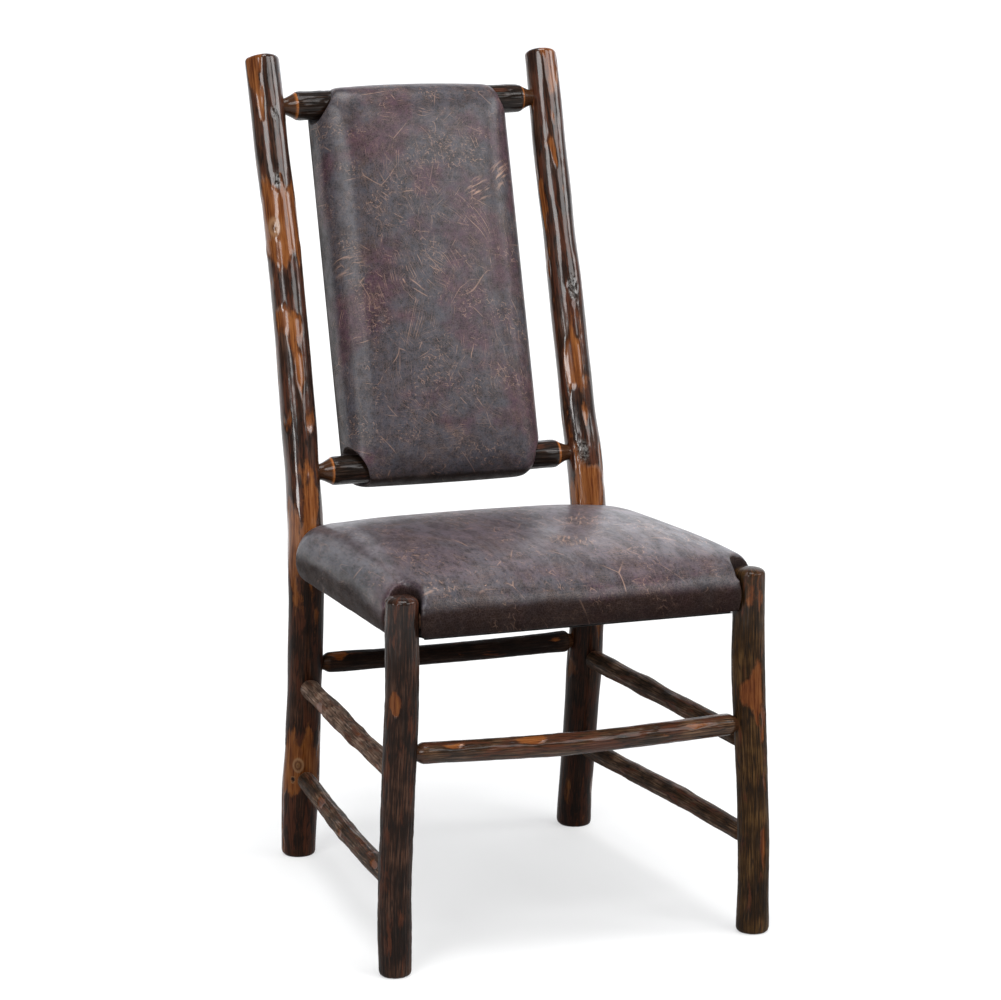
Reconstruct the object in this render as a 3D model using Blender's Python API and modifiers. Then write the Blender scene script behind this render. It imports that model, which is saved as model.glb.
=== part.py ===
"""Rustic side chair: bark-on hickory poles with a leather seat and a leather back panel.

Left and right are as seen by someone who faces the chair. X runs to the right, the
front faces -Y and Z is up. The origin is on the floor, under the middle of the chair.
Lengths are in metres.
"""

import math

import bmesh
import bpy
from mathutils import Matrix, Vector

# Fits
GAP = 0.0003                  # air between pieces that touch
BARK_CLEAR = 0.003            # leather to bark, round a post
FOAM_CLEAR = 0.0006           # foam to the leather over it
SHOULDER_GAP = 0.001          # a rung's shoulder to the bark of a leaning post
WELD = 0.00002                # points nearer than this are one

# Front posts
FRONT_POST_HEIGHT = 0.480
FRONT_POST_D = 0.0415
FRONT_POST_Y = -0.330
FRONT_FOOT_X = 0.2425         # half the spacing at the floor
FRONT_TOP_X = 0.2310          # half the spacing at the seat
FRONT_LEAN_LOW = 0.130        # the posts lean in between these two heights
FRONT_LEAN_HIGH = 0.360

# Height of the seat rails' axes
SEAT_DROP = 0.0335            # the front rail, below the front posts' tops
SEAT_FALL = 0.0175            # the rear rail, below the front one
SEAT_FRONT_Z = FRONT_POST_HEIGHT - SEAT_DROP
SEAT_REAR_Z = SEAT_FRONT_Z - SEAT_FALL

# Rear posts, bent at the waist
REAR_POST_HEIGHT = 1.091
REAR_FOOT_X = 0.2055
REAR_FOOT_Y = 0.2005
REAR_FOOT_D = 0.049
REAR_KNEE_Z = 0.200
REAR_KNEE_Y = 0.1655
REAR_WAIST_DROP = 0.009       # the waist, below the rear seat rail
REAR_WAIST_Z = SEAT_REAR_Z - REAR_WAIST_DROP
REAR_WAIST_X = 0.2060
REAR_WAIST_Y = 0.1415
REAR_WAIST_D = 0.0485
REAR_LUMBAR_RISE = 0.131      # the lumbar bend, above the rear seat rail
REAR_LUMBAR_Z = SEAT_REAR_Z + REAR_LUMBAR_RISE
REAR_LUMBAR_X = 0.2035
REAR_LUMBAR_Y = 0.1675
REAR_SHOULDER_Z = 0.800
REAR_SHOULDER_X = 0.2005
REAR_SHOULDER_Y = 0.2370
REAR_SHOULDER_D = 0.0465
REAR_TOP_X = 0.2035
REAR_TOP_Y = 0.3320
REAR_TOP_D = 0.0460

# Pole ends
FOOT_EASE = 0.005             # round on the edge of a foot
FOOT_STRAIGHT = 0.015         # the foot stands upright below this height
CROWN_EASE = 0.004            # round on the edge of a post's top
LINE_STEPS = 24               # points of a post's line between two stations
RING_STEP = 0.075             # length of pole between two rings
POST_SIDES = 12
RAIL_SIDES = 12
STRETCHER_SIDES = 10
KNOT_LENGTH = 0.018
KNOT_RINGS = (-1.5, -0.7, 0.0, 0.7, 1.5)      # places of rings at a knot, in knot lengths

# Knots on the posts: height, turn from +X in degrees, swell
KNOTS = {
    "rear_post_left": ((0.103, -130.0, 0.005), (0.845, -120.0, 0.002)),
    "rear_post_right": ((0.770, -60.0, 0.003), (0.545, -110.0, 0.002)),
    "front_post_left": ((0.330, -110.0, 0.0015),),
    "front_post_right": ((0.345, -150.0, 0.002),),
}

# Rungs
STRETCHER_TENON_D = 0.019
STRETCHER_CONE = 0.005        # length of the shaved shoulder
STRETCHER_MORTISE = 0.028     # depth in the post
BACK_RAIL_D = 0.039
BACK_TENON_D = 0.0225
BACK_CONE = 0.016
BACK_MORTISE = 0.032
TOP_RAIL_DROP = (0.0690, 0.0660)      # below the posts' tops, at the left and the right
LOWER_RAIL_RISE = (0.1125, 0.1170)    # above the rear seat rail, at the left and the right
TOP_RAIL_Z = tuple(REAR_POST_HEIGHT - drop for drop in TOP_RAIL_DROP)
LOWER_RAIL_Z = tuple(SEAT_REAR_Z + rise for rise in LOWER_RAIL_RISE)
SEAT_RAIL_D = 0.037
SEAT_TENON_D = 0.019
SEAT_CONE = 0.014

# Stretchers: name, two posts, height at each, diameter, rise at the middle, knots on it
# as share of its length, turn round its axis in degrees and swell
STRETCHERS = (
    ("front_stretcher", "front_post_left", "front_post_right", 0.2805, 0.2780,
     0.0285, -0.006, ((0.45, 250.0, 0.0015),)),
    ("rear_stretcher", "rear_post_left", "rear_post_right", 0.2790, 0.2790,
     0.0285, -0.002, ((0.92, 60.0, 0.0025),)),
    ("left_upper_stretcher", "front_post_left", "rear_post_left", 0.2535, 0.2510,
     0.0270, -0.001, ((0.42, 200.0, 0.003), (0.70, 70.0, 0.002))),
    ("left_lower_stretcher", "front_post_left", "rear_post_left", 0.1170, 0.1180,
     0.0255, -0.005, ((0.48, 150.0, 0.003),)),
    ("right_upper_stretcher", "front_post_right", "rear_post_right", 0.2510, 0.2560,
     0.0265, 0.000, ((0.62, 80.0, 0.002),)),
    ("right_lower_stretcher", "front_post_right", "rear_post_right", 0.1230, 0.1215,
     0.0258, 0.003, ((0.38, 90.0, 0.0025), (0.66, 250.0, 0.002))),
)

# Pins through the tenons
PIN_D = 0.0032
PIN_PAST = 0.0025             # how far a pin runs on past the tenon
PIN_SUNK = 0.0006             # how far its end lies below the bark
PIN_SIDES = 8

# Wood screws
SCREW_HEAD_D = 0.0084
SCREW_HEAD_H = 0.0030
SCREW_D = 0.0042
SCREW_LENGTH = 0.030
SCREW_POINT = 0.005
SCREW_STEPS = 10

# Leather, boards and foam
LEATHER = 0.002
CLOTH = 0.001
TURN_UNDER = 0.030            # leather turned under the seat or behind the back panel
EDGE_ROLL = 0.020             # width of the round along the edge of a soft form
BASE_ROLL = 0.004             # height of the round where it turns under or behind
CROWN_POWER = 4               # how flat a crown stays before it falls to the edges
FAR = 2.0                     # larger than the chair, for cutters that take a whole side
CAGE_WIDE_CUTS = 4            # cuts across a soft form, each way
CAGE_DEEP_CUTS = 2            # cuts through its thickness

# Seat
DECK = 0.012
DECK_LIP = 0.008              # the deck's edge, outside the axes of the seat rails
DECK_SCREW_X = 0.120
SEAT_WRAP = 0.0045            # padding and leather outside the seat rails
SEAT_EDGE = 0.0445            # top of the leather along the edge, above the rails' axes
SEAT_CROWN = 0.027            # rise from there to the middle
SEAT_DRAW = 0.006             # how far the sides draw in on their way up
DRAW_POWER = 3                # the draw starts late, above the rails
FRONT_CORNER = 0.0165         # where the front face ends, from a front post's axis
REAR_CORNER = 0.036           # where a side ends, from a rear post's axis
NOTCH_RINGS = 4
NOTCH_RELIEF = 0.012          # radius cut from the leather between two rails, at a post

# Back panel
PANEL_HALF_WIDTH = 0.1360
PANEL_BOARD = 0.006
PANEL_EDGE_PAD = 0.009        # foam at the panel's edge
PANEL_CROWN = 0.006           # extra foam in the middle
PANEL_REAR_PAD = 0.010        # wadding behind the rear board
PANEL_TOP_WRAP = 0.002        # padding and leather over the top rail
PANEL_LOWER_WRAP = 0.007      # padding and leather under the lower rail
PANEL_DRAW = 0.0015           # how far the sides draw in at the middle
PANEL_INSET = 0.028           # boards, inside the leather's sides
BOARD_SCREW_INSET = 0.031     # from the board's side edges

# Colours from the photograph: colour, roughness
BARK = ((0.045, 0.024, 0.015), 0.45)
HICKORY = ((0.42, 0.25, 0.12), 0.55)
LEATHER_LOOK = ((0.085, 0.068, 0.072), 0.50)
PLYWOOD = ((0.55, 0.40, 0.24), 0.70)
FOAM = ((0.80, 0.74, 0.55), 0.90)
CAMBRIC = ((0.02, 0.02, 0.02), 0.90)
STEEL = ((0.55, 0.55, 0.55), 0.35)


def start_scene():
    """Empty the scene and make the collections and the empty that carries the parts."""
    for old in list(bpy.data.objects):
        bpy.data.objects.remove(old, do_unlink=True)
    collections = []
    for name in ("rustic_side_chair", "cutters"):
        collection = bpy.data.collections.new(name)
        bpy.context.scene.collection.children.link(collection)
        collections.append(collection)
    root = bpy.data.objects.new("side_chair_root", None)
    collections[0].objects.link(root)
    return collections[0], collections[1], root


PARTS, CUTTERS, ROOT = start_scene()
UP = Vector((0.0, 0.0, 1.0))


def make_material(name, look, metallic=0.0):
    colour, roughness = look
    material = bpy.data.materials.new(name)
    material.use_nodes = True
    shader = material.node_tree.nodes["Principled BSDF"]
    shader.inputs["Base Color"].default_value = (*colour, 1.0)
    shader.inputs["Roughness"].default_value = roughness
    shader.inputs["Metallic"].default_value = metallic
    return material


def add_part(name, mesh, look, metallic=0.0):
    """One named piece of the chair, with a material of its own."""
    mesh.materials.clear()
    mesh.materials.append(make_material(name, look, metallic))
    mesh.shade_smooth()
    mesh.set_sharp_from_angle(angle=math.radians(40))
    part = bpy.data.objects.new(name, mesh)
    PARTS.objects.link(part)
    part.parent = ROOT
    return part


def add_cutter(name, mesh):
    cutter = bpy.data.objects.new(name, mesh)
    cutter.hide_render = True
    cutter.display_type = "WIRE"
    CUTTERS.objects.link(cutter)
    return cutter


def cut(part, cutter):
    boolean = part.modifiers.new(cutter.name, "BOOLEAN")
    boolean.operation = "DIFFERENCE"
    boolean.solver = "EXACT"
    boolean.object = cutter


def mesh_of(name, builder):
    """A mesh made from what the builder puts in a new bmesh."""
    bm = bmesh.new()
    builder(bm)
    bmesh.ops.recalc_face_normals(bm, faces=bm.faces)
    mesh = bpy.data.meshes.new(name)
    bm.to_mesh(mesh)
    bm.free()
    return mesh


def rod_mesh(name, start, end, radius, sides):
    """A straight round rod between two points."""
    axis = end - start
    turn = axis.to_track_quat("Z", "X").to_matrix().to_4x4()
    place = Matrix.Translation((start + end) / 2) @ turn

    def build(bm):
        bmesh.ops.create_cone(bm, cap_ends=True, segments=sides, radius1=radius,
                              radius2=radius, depth=axis.length, matrix=place)
    return mesh_of(name, build)


def box_mesh(name, low, high, place=None):
    """A box from its low to its high corner, in the frame that place gives."""
    size = Vector(high) - Vector(low)
    centre = (Vector(high) + Vector(low)) / 2
    matrix = (place or Matrix()) @ Matrix.Translation(centre) @ Matrix.Diagonal((*size, 1.0))
    return mesh_of(name, lambda bm: bmesh.ops.create_cube(bm, size=1.0, matrix=matrix))


def clear_radius(radius, sides, gap=GAP):
    """Radius of a hole with so many sides whose flats clear a round of this radius."""
    return (radius + gap) / math.cos(math.pi / sides)


def curve_to_mesh(name, curve):
    """The closed mesh of a curve, whose caps are welded on."""
    holder = bpy.data.objects.new(name, curve)
    bpy.context.scene.collection.objects.link(holder)
    graph = bpy.context.evaluated_depsgraph_get()
    mesh = bpy.data.meshes.new_from_object(holder.evaluated_get(graph))
    bpy.data.objects.remove(holder, do_unlink=True)
    bpy.data.curves.remove(curve)
    bm = bmesh.new()
    bm.from_mesh(mesh)
    bmesh.ops.remove_doubles(bm, verts=bm.verts, dist=WELD)
    bmesh.ops.recalc_face_normals(bm, faces=bm.faces)
    bm.to_mesh(mesh)
    bm.free()
    return mesh


# Poles

def smooth_line(stations):
    """Points on a smooth line through stations of x, y, z and radius."""
    first = 2 * stations[0] - stations[1]
    last = 2 * stations[-1] - stations[-2]
    run = [first, *stations, last]
    line = []
    for before, start, end, after in zip(run, run[1:], run[2:], run[3:]):
        for step in range(LINE_STEPS):
            t = step / LINE_STEPS
            bend = 2 * before - 5 * start + 4 * end - after
            twist = 3 * start - before - 3 * end + after
            line.append((2 * start + (end - before) * t + bend * t * t + twist * t ** 3) / 2)
    line.append(stations[-1])
    return line


def at_height(line, height):
    """The point of a post's line at a height, as x, y, z and radius."""
    for below, above in zip(line, line[1:]):
        if height <= above.z:
            share = (height - below.z) / (above.z - below.z)
            return below.lerp(above, share)
    return line[-1].copy()


def pole_mesh(name, rings, sides):
    """A round pole through rings of x, y, z and radius."""
    curve = bpy.data.curves.new(name, "CURVE")
    curve.dimensions = "3D"
    curve.bevel_depth = 1.0
    curve.bevel_resolution = (sides - 4) // 2
    curve.use_fill_caps = True
    spline = curve.splines.new("POLY")
    spline.points.add(len(rings) - 1)
    for point, ring in zip(spline.points, rings):
        point.co = (*ring.xyz, 1.0)
        point.radius = ring.w
    return curve_to_mesh(name, curve)


def swell(ring, distance, direction, size):
    """Let a knot push one side of a ring out."""
    share = math.exp(-(distance / KNOT_LENGTH) ** 2)
    out = direction.normalized() * size * share / 2
    return Vector((*(ring.xyz + out), ring.w + size * share / 2))


def ring_places(start, end, knots):
    """Even places between two ends, with more of them at each knot."""
    count = max(2, round((end - start) / RING_STEP))
    places = {start + (end - start) * step / count for step in range(count + 1)}
    for knot in knots:
        for share in KNOT_RINGS:
            places.add(knot + share * KNOT_LENGTH)
    ordered = sorted(place for place in places if start <= place <= end)
    kept = [ordered[0]]
    for place in ordered[1:]:
        if place - kept[-1] > KNOT_LENGTH / 3:
            kept.append(place)
    kept[-1] = end
    return kept


def post_stations(name):
    """The points that a post's axis passes through."""
    side = -1.0 if name.endswith("left") else 1.0
    if name.startswith("front"):
        radius = FRONT_POST_D / 2
        steps = ((FRONT_FOOT_X, 0.0), (FRONT_FOOT_X, FRONT_LEAN_LOW),
                 (FRONT_TOP_X, FRONT_LEAN_HIGH), (FRONT_TOP_X, FRONT_POST_HEIGHT))
        return [Vector((side * x, FRONT_POST_Y, z, radius)) for x, z in steps]
    steps = (
        (REAR_FOOT_X, REAR_FOOT_Y, 0.0, REAR_FOOT_D),
        (REAR_FOOT_X, REAR_KNEE_Y, REAR_KNEE_Z, REAR_FOOT_D),
        (REAR_WAIST_X, REAR_WAIST_Y, REAR_WAIST_Z, REAR_WAIST_D),
        (REAR_LUMBAR_X, REAR_LUMBAR_Y, REAR_LUMBAR_Z, REAR_WAIST_D),
        (REAR_SHOULDER_X, REAR_SHOULDER_Y, REAR_SHOULDER_Z, REAR_SHOULDER_D),
        (REAR_TOP_X, REAR_TOP_Y, REAR_POST_HEIGHT, REAR_TOP_D),
    )
    return [Vector((side * x, y, z, d / 2)) for x, y, z, d in steps]


POST_LINES = {name: smooth_line(post_stations(name)) for name in KNOTS}


def post_ring(name, height):
    """The ring of a post at a height, with the swell of its knots."""
    ring = at_height(POST_LINES[name], height)
    for knot_height, turn, size in KNOTS[name]:
        angle = math.radians(turn)
        out = Vector((math.cos(angle), math.sin(angle), 0.0))
        ring = swell(ring, height - knot_height, out, size)
    return ring


def post_rings(name, line):
    """Rings of a post: an eased foot that stands flat, the bends and knots, an eased top."""
    top = line[-1].z
    knot_heights = [knot[0] for knot in KNOTS[name]]
    rings = []
    for angle in (0.0, 45.0, 90.0):
        ring = line[0].copy()
        ring.z = FOOT_EASE * (1.0 - math.cos(math.radians(angle)))
        ring.w -= FOOT_EASE * (1.0 - math.sin(math.radians(angle)))
        rings.append(ring)
    for height in ring_places(FOOT_STRAIGHT, top - CROWN_EASE, knot_heights):
        rings.append(post_ring(name, height))
    for angle in (45.0, 0.0):
        ring = at_height(line, top - CROWN_EASE * (1.0 - math.cos(math.radians(angle))))
        ring.w -= CROWN_EASE * (1.0 - math.sin(math.radians(angle)))
        rings.append(ring)
    return rings


def make_posts():
    posts = {}
    for name, line in POST_LINES.items():
        posts[name] = add_part(name, pole_mesh(name, post_rings(name, line), POST_SIDES), BARK)
    return posts


POSTS = make_posts()


# Rungs

class Rung:
    """Where a rung runs: its two posts, the points on their axes and its sizes."""

    def __init__(self, name, posts, heights, diameter, tenon_d, cone, depth):
        self.name = name
        self.posts = posts
        self.ends = [post_ring(post, z) for post, z in zip(posts, heights)]
        self.start = self.ends[0].xyz
        self.finish = self.ends[1].xyz
        self.axis = (self.finish - self.start).normalized()
        self.length = (self.finish - self.start).length
        self.radius = diameter / 2
        self.tenon = tenon_d / 2
        self.cone = cone
        self.depth = depth

    def tenon_end(self, end):
        """Distance from a post's axis at which the tenon ends; a mitred one runs past it."""
        if self.depth is None:
            return -self.tenon
        return self.ends[end].w - self.depth

    def shoulder(self, end):
        """Distance from a post's axis at which the shaved cone starts."""
        return self.ends[end].w + SHOULDER_GAP

    def point(self, end, distance):
        """A point on the axis, so far from one post's axis towards the other."""
        if end == 0:
            return self.start + self.axis * distance
        return self.finish - self.axis * distance


def rung_rings(rung, rise=0.0, knots=()):
    """Rings of a rung: a tenon, a shaved cone, the bark-on body, a cone and a tenon."""
    head = rung.shoulder(0) + rung.cone
    tail = rung.length - rung.shoulder(1) - rung.cone
    rings = [Vector((*rung.point(0, rung.tenon_end(0)), rung.tenon)),
             Vector((*rung.point(0, rung.shoulder(0)), rung.tenon))]
    upright = (UP - rung.axis * rung.axis.dot(UP)).normalized()
    sideways = rung.axis.cross(upright)
    places = [share * rung.length for share, turn, size in knots]
    for place in ring_places(head, tail, places):
        lift = rise * math.sin(math.pi * (place - head) / (tail - head))
        ring = Vector((*(rung.start + rung.axis * place + upright * lift), rung.radius))
        for share, turn, size in knots:
            angle = math.radians(turn)
            out = sideways * math.cos(angle) + upright * math.sin(angle)
            ring = swell(ring, place - share * rung.length, out, size)
        rings.append(ring)
    rings.append(Vector((*rung.point(1, rung.shoulder(1)), rung.tenon)))
    rings.append(Vector((*rung.point(1, rung.tenon_end(1)), rung.tenon)))
    return rings


def cut_mortises(rung):
    """Bore the two posts for a rung's tenons."""
    for end, post in enumerate(rung.posts):
        bottom = rung.point(end, rung.tenon_end(end) - GAP)
        mouth = rung.point(end, rung.ends[end].w + rung.cone)
        name = f"{rung.name}_mortise_{end}"
        radius = clear_radius(rung.tenon, RAIL_SIDES)
        cut(POSTS[post], add_cutter(name, rod_mesh(name, bottom, mouth, radius, RAIL_SIDES)))


def end_words(rung):
    """What to call the two ends of a rung."""
    across = abs(rung.axis.x) > abs(rung.axis.y)
    return ("left", "right") if across else ("front", "rear")


def pin_joints(rung, part):
    """Pin each tenon from the side of the post that faces away or inwards."""
    across = abs(rung.axis.x) > abs(rung.axis.y)
    for end, word in enumerate(end_words(rung)):
        post = rung.ends[end]
        offset = (rung.tenon_end(end) + post.w) / 2
        centre = rung.point(end, offset)
        side = rung.axis.cross(UP).normalized()
        inward = Vector((0.0, 1.0, 0.0)) if across else Vector((-post.x, 0.0, 0.0))
        side = side if side.dot(inward) > 0 else -side
        reach = math.sqrt(post.w ** 2 - offset ** 2)
        tip = centre - side * (rung.tenon + PIN_PAST)
        head = centre + side * (reach * math.cos(math.pi / POST_SIDES) - PIN_SUNK)
        name = f"{rung.name}_pin_{word}"
        add_part(name, rod_mesh(name, tip, head, PIN_D / 2, PIN_SIDES), STEEL, 1.0)
        radius = clear_radius(PIN_D / 2, PIN_SIDES)
        bottom = tip - side * GAP
        mouth = centre + side * (post.w + PIN_D)
        hole = add_cutter(name + "_hole", rod_mesh(name + "_hole", bottom, mouth, radius,
                                                   PIN_SIDES))
        cut(POSTS[rung.posts[end]], hole)
        cut(part, hole)


def make_stretchers():
    for name, post_a, post_b, height_a, height_b, diameter, rise, knots in STRETCHERS:
        rung = Rung(name, (post_a, post_b), (height_a, height_b), diameter,
                    STRETCHER_TENON_D, STRETCHER_CONE, STRETCHER_MORTISE)
        rings = rung_rings(rung, rise, knots)
        part = add_part(name, pole_mesh(name, rings, STRETCHER_SIDES), BARK)
        cut_mortises(rung)
        pin_joints(rung, part)


def make_back_rails():
    rails = []
    for name, heights in (("top_back_rail", TOP_RAIL_Z), ("lower_back_rail", LOWER_RAIL_Z)):
        rung = Rung(name, ("rear_post_left", "rear_post_right"), heights,
                    BACK_RAIL_D, BACK_TENON_D, BACK_CONE, BACK_MORTISE)
        part = add_part(name, pole_mesh(name, rung_rings(rung), RAIL_SIDES), BARK)
        cut_mortises(rung)
        pin_joints(rung, part)
        rails.append((rung, part))
    return rails


def mitre(mesh, point, normal):
    """Cut a mesh square to normal at point, keep the side that normal points to, and close it."""
    bm = bmesh.new()
    bm.from_mesh(mesh)
    whole = bm.verts[:] + bm.edges[:] + bm.faces[:]
    sliced = bmesh.ops.bisect_plane(bm, geom=whole, plane_co=point, plane_no=normal,
                                    clear_inner=True)
    rim = [item for item in sliced["geom_cut"] if isinstance(item, bmesh.types.BMEdge)]
    bmesh.ops.edgeloop_fill(bm, edges=rim)
    bmesh.ops.recalc_face_normals(bm, faces=bm.faces)
    bm.to_mesh(mesh)
    bm.free()


def make_seat_rails():
    """Four rails whose tenons meet in a mitre inside each post."""
    runs = {
        "seat_front_rail": ("front_post_left", "front_post_right"),
        "seat_rear_rail": ("rear_post_left", "rear_post_right"),
        "seat_left_rail": ("front_post_left", "rear_post_left"),
        "seat_right_rail": ("front_post_right", "rear_post_right"),
    }
    rails = {}
    for name, posts in runs.items():
        heights = [SEAT_FRONT_Z if post.startswith("front") else SEAT_REAR_Z for post in posts]
        rung = Rung(name, posts, heights, SEAT_RAIL_D, SEAT_TENON_D, SEAT_CONE, None)
        rails[name] = rung
    parts = {}
    for name, rung in rails.items():
        mesh = pole_mesh(name, rung_rings(rung), RAIL_SIDES)
        for end, post in enumerate(rung.posts):
            other = next(r for n, r in rails.items() if n != name and post in r.posts)
            own = rung.axis if end == 0 else -rung.axis
            its = other.axis if other.posts[0] == post else -other.axis
            normal = (own - its).normalized()
            mitre(mesh, rung.ends[end].xyz + normal * GAP, normal)
        parts[name] = add_part(name, mesh, HICKORY)
        cut_mortises(rung)
    return rails, parts


make_stretchers()
BACK_RAILS = make_back_rails()
SEAT_RAILS, SEAT_RAIL_PARTS = make_seat_rails()


# Screws

def screw_mesh(name, place, grow=0.0, above=0.0):
    """A countersunk wood screw, head up at the origin of place, or its hole if it is grown."""
    head = SCREW_HEAD_D / 2 + grow
    shank = SCREW_D / 2 + grow
    length = SCREW_LENGTH + grow
    profile = [(0.0, above), (head, above), (head, -grow), (shank, -SCREW_HEAD_H - grow),
               (shank, SCREW_POINT - length), (0.0, -length)]
    mesh = bpy.data.meshes.new(name)
    corners = [(x, 0.0, z) for index, (x, z) in enumerate(profile)
               if index == 0 or (x, z) != profile[index - 1]]
    mesh.from_pydata(corners, [(i, i + 1) for i in range(len(corners) - 1)], [])
    holder = bpy.data.objects.new(name, mesh)
    bpy.context.scene.collection.objects.link(holder)
    screw = holder.modifiers.new("turn", "SCREW")
    screw.steps = SCREW_STEPS
    screw.render_steps = SCREW_STEPS
    screw.use_merge_vertices = True
    screw.merge_threshold = WELD
    graph = bpy.context.evaluated_depsgraph_get()
    turned = bpy.data.meshes.new_from_object(holder.evaluated_get(graph))
    bpy.data.objects.remove(holder, do_unlink=True)
    bpy.data.meshes.remove(mesh)
    bm = bmesh.new()
    bm.from_mesh(turned)
    bmesh.ops.remove_doubles(bm, verts=bm.verts, dist=WELD)
    bmesh.ops.recalc_face_normals(bm, faces=bm.faces)
    bmesh.ops.transform(bm, matrix=place, verts=bm.verts)
    bm.to_mesh(turned)
    bm.free()
    return turned


def drive_screw(name, point, outward, parts):
    """Put a screw in with its head flush at point, and bore the parts that it holds."""
    place = Matrix.Translation(point) @ outward.to_track_quat("Z", "X").to_matrix().to_4x4()
    add_part(name, screw_mesh(name, place), STEEL, 1.0)
    hole = add_cutter(name + "_hole", screw_mesh(name + "_hole", place, GAP, SCREW_HEAD_H))
    for part in parts:
        cut(part, hole)


# Soft forms

def cage_mesh(name, place):
    """A cube cut into a cage, with each point of it moved by place."""
    def rises(edge):
        return abs(edge.verts[0].co.z - edge.verts[1].co.z) > WELD

    def build(bm):
        bmesh.ops.create_cube(bm, size=2.0)
        upright = [edge for edge in bm.edges if rises(edge)]
        bmesh.ops.subdivide_edges(bm, edges=upright, cuts=CAGE_DEEP_CUTS, use_grid_fill=True)
        level = [edge for edge in bm.edges if not rises(edge)]
        bmesh.ops.subdivide_edges(bm, edges=level, cuts=CAGE_WIDE_CUTS, use_grid_fill=True)
        for vert in bm.verts:
            vert.co = place(vert.co)
    return mesh_of(name, build)


def towards_edge(value, half):
    """Move the outer lines of a cage of this half width to a roll's width from its edges."""
    outer_line = (CAGE_WIDE_CUTS - 1) / (CAGE_WIDE_CUTS + 1)
    shoulder = 1.0 - EDGE_ROLL / half
    size = abs(value)
    if size <= outer_line:
        return math.copysign(shoulder * size / outer_line, value)
    share = (size - outer_line) / (1.0 - outer_line)
    return math.copysign(shoulder + (1.0 - shoulder) * share, value)


def from_base(value, thickness):
    """Share of the thickness at a cage line, the first of them close to the base."""
    line = round((value + 1.0) / 2 * (CAGE_DEEP_CUTS + 1))
    if line == 0:
        return 0.0
    first = BASE_ROLL / thickness
    return first + (1.0 - first) * (line - 1) / CAGE_DEEP_CUTS


def crown(u, v):
    """Share of its full rise that a crown has at a place on a soft form."""
    return (1.0 - abs(u) ** CROWN_POWER) * (1.0 - abs(v) ** CROWN_POWER)


def soften(part):
    """Round a cage, with its faces split the same way on leather, lining and foam."""
    smooth = part.modifiers.new("soft", "SUBSURF")
    smooth.levels = 1
    smooth.render_levels = 1
    split = part.modifiers.new("split", "TRIANGULATE")
    split.quad_method = "FIXED"


# Seat

def seat_frame():
    """The seat's own frame, from the middle of the front rail: X right, Y to the rear, Z up."""
    front = SEAT_RAILS["seat_front_rail"]
    rear = SEAT_RAILS["seat_rear_rail"]
    origin = (front.start + front.finish) / 2
    back = (rear.start + rear.finish) / 2 - origin
    depth = back.length
    across = Vector((1.0, 0.0, 0.0))
    back = back.normalized()
    turn = Matrix((across, back, across.cross(back))).transposed().to_4x4()
    return Matrix.Translation(origin) @ turn, depth


def seat_corners(out):
    """Half width in front, front edge, half width at the rear and rear edge, outside the rails."""
    depth = seat_frame()[1]
    front_x = SEAT_RAILS["seat_front_rail"].finish.x
    rear_x = SEAT_RAILS["seat_rear_rail"].finish.x
    return front_x + out, -out, rear_x + out, depth + out


def seat_under():
    """Level of the leather's underside, from the axes of the rails."""
    return -SEAT_RAIL_D / 2 - GAP - LEATHER


def seat_place(inset):
    """Places the points of a cage on the seat, so far inside its leather."""
    frame = seat_frame()[0]
    out = SEAT_RAIL_D / 2 + SEAT_WRAP - inset
    front_x, front_y, rear_x, rear_y = seat_corners(out)
    bottom = seat_under() + inset
    edge = SEAT_EDGE - inset

    def place(point):
        u = towards_edge(point.x, (front_x + rear_x) / 2)
        v = towards_edge(point.y, (rear_y - front_y) / 2)
        up = from_base(point.z, edge - bottom)
        back = (v + 1.0) / 2
        across = front_x + (rear_x - front_x) * back - SEAT_DRAW * up ** DRAW_POWER
        y = front_y + (rear_y - front_y) * back - SEAT_DRAW * v * up ** DRAW_POWER
        top = edge + SEAT_CROWN * crown(u, v)
        return frame @ Vector((u * across, y, bottom + (top - bottom) * up))
    return place


def seat_span():
    """Heights well below and well above the seat."""
    low = min(SEAT_FRONT_Z, SEAT_REAR_Z) - SEAT_RAIL_D
    return low, max(SEAT_FRONT_Z, SEAT_REAR_Z) + SEAT_EDGE + SEAT_CROWN + DECK


def notch_mesh(name, line, grow):
    """A post's bend with room round it, through the whole seat."""
    low, high = seat_span()
    rings = []
    for step in range(NOTCH_RINGS):
        height = low + (high - low) * step / (NOTCH_RINGS - 1)
        ring = at_height(line, height)
        ring.z = height
        ring.w = clear_radius(ring.w, POST_SIDES, BARK_CLEAR + grow)
        rings.append(ring)
    return pole_mesh(name, rings, POST_SIDES)


def corner_mesh(name, post, axis, grow):
    """What the seat's corner loses outside a post."""
    low, high = seat_span()
    radius = axis.w + BARK_CLEAR
    side = math.copysign(1.0, axis.x)
    if post.startswith("front"):
        near_x, far_x = axis.x - side * (FRONT_CORNER + grow), axis.x + side * 2 * radius
        near_y, far_y = axis.y, axis.y - 2 * radius
    else:
        near_x, far_x = axis.x - side * radius / 2, axis.x + side * 2 * radius
        near_y, far_y = axis.y - REAR_CORNER - grow, axis.y + 2 * radius
    corners = ((near_x, near_y, low), (far_x, far_y, high))
    return box_mesh(name, [min(pair) for pair in zip(*corners)],
                    [max(pair) for pair in zip(*corners)])


def notch_cutters(name, grow):
    """Room for the four posts in the seat, so much wider than their bark needs."""
    cutters = []
    for post, line in POST_LINES.items():
        height = SEAT_FRONT_Z if post.startswith("front") else SEAT_REAR_Z
        label = f"{name}_{post}"
        cutters.append(add_cutter(label, notch_mesh(label, line, grow)))
        label += "_corner"
        corner = corner_mesh(label, post, at_height(line, height), grow)
        cutters.append(add_cutter(label, corner))
    return cutters


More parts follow.
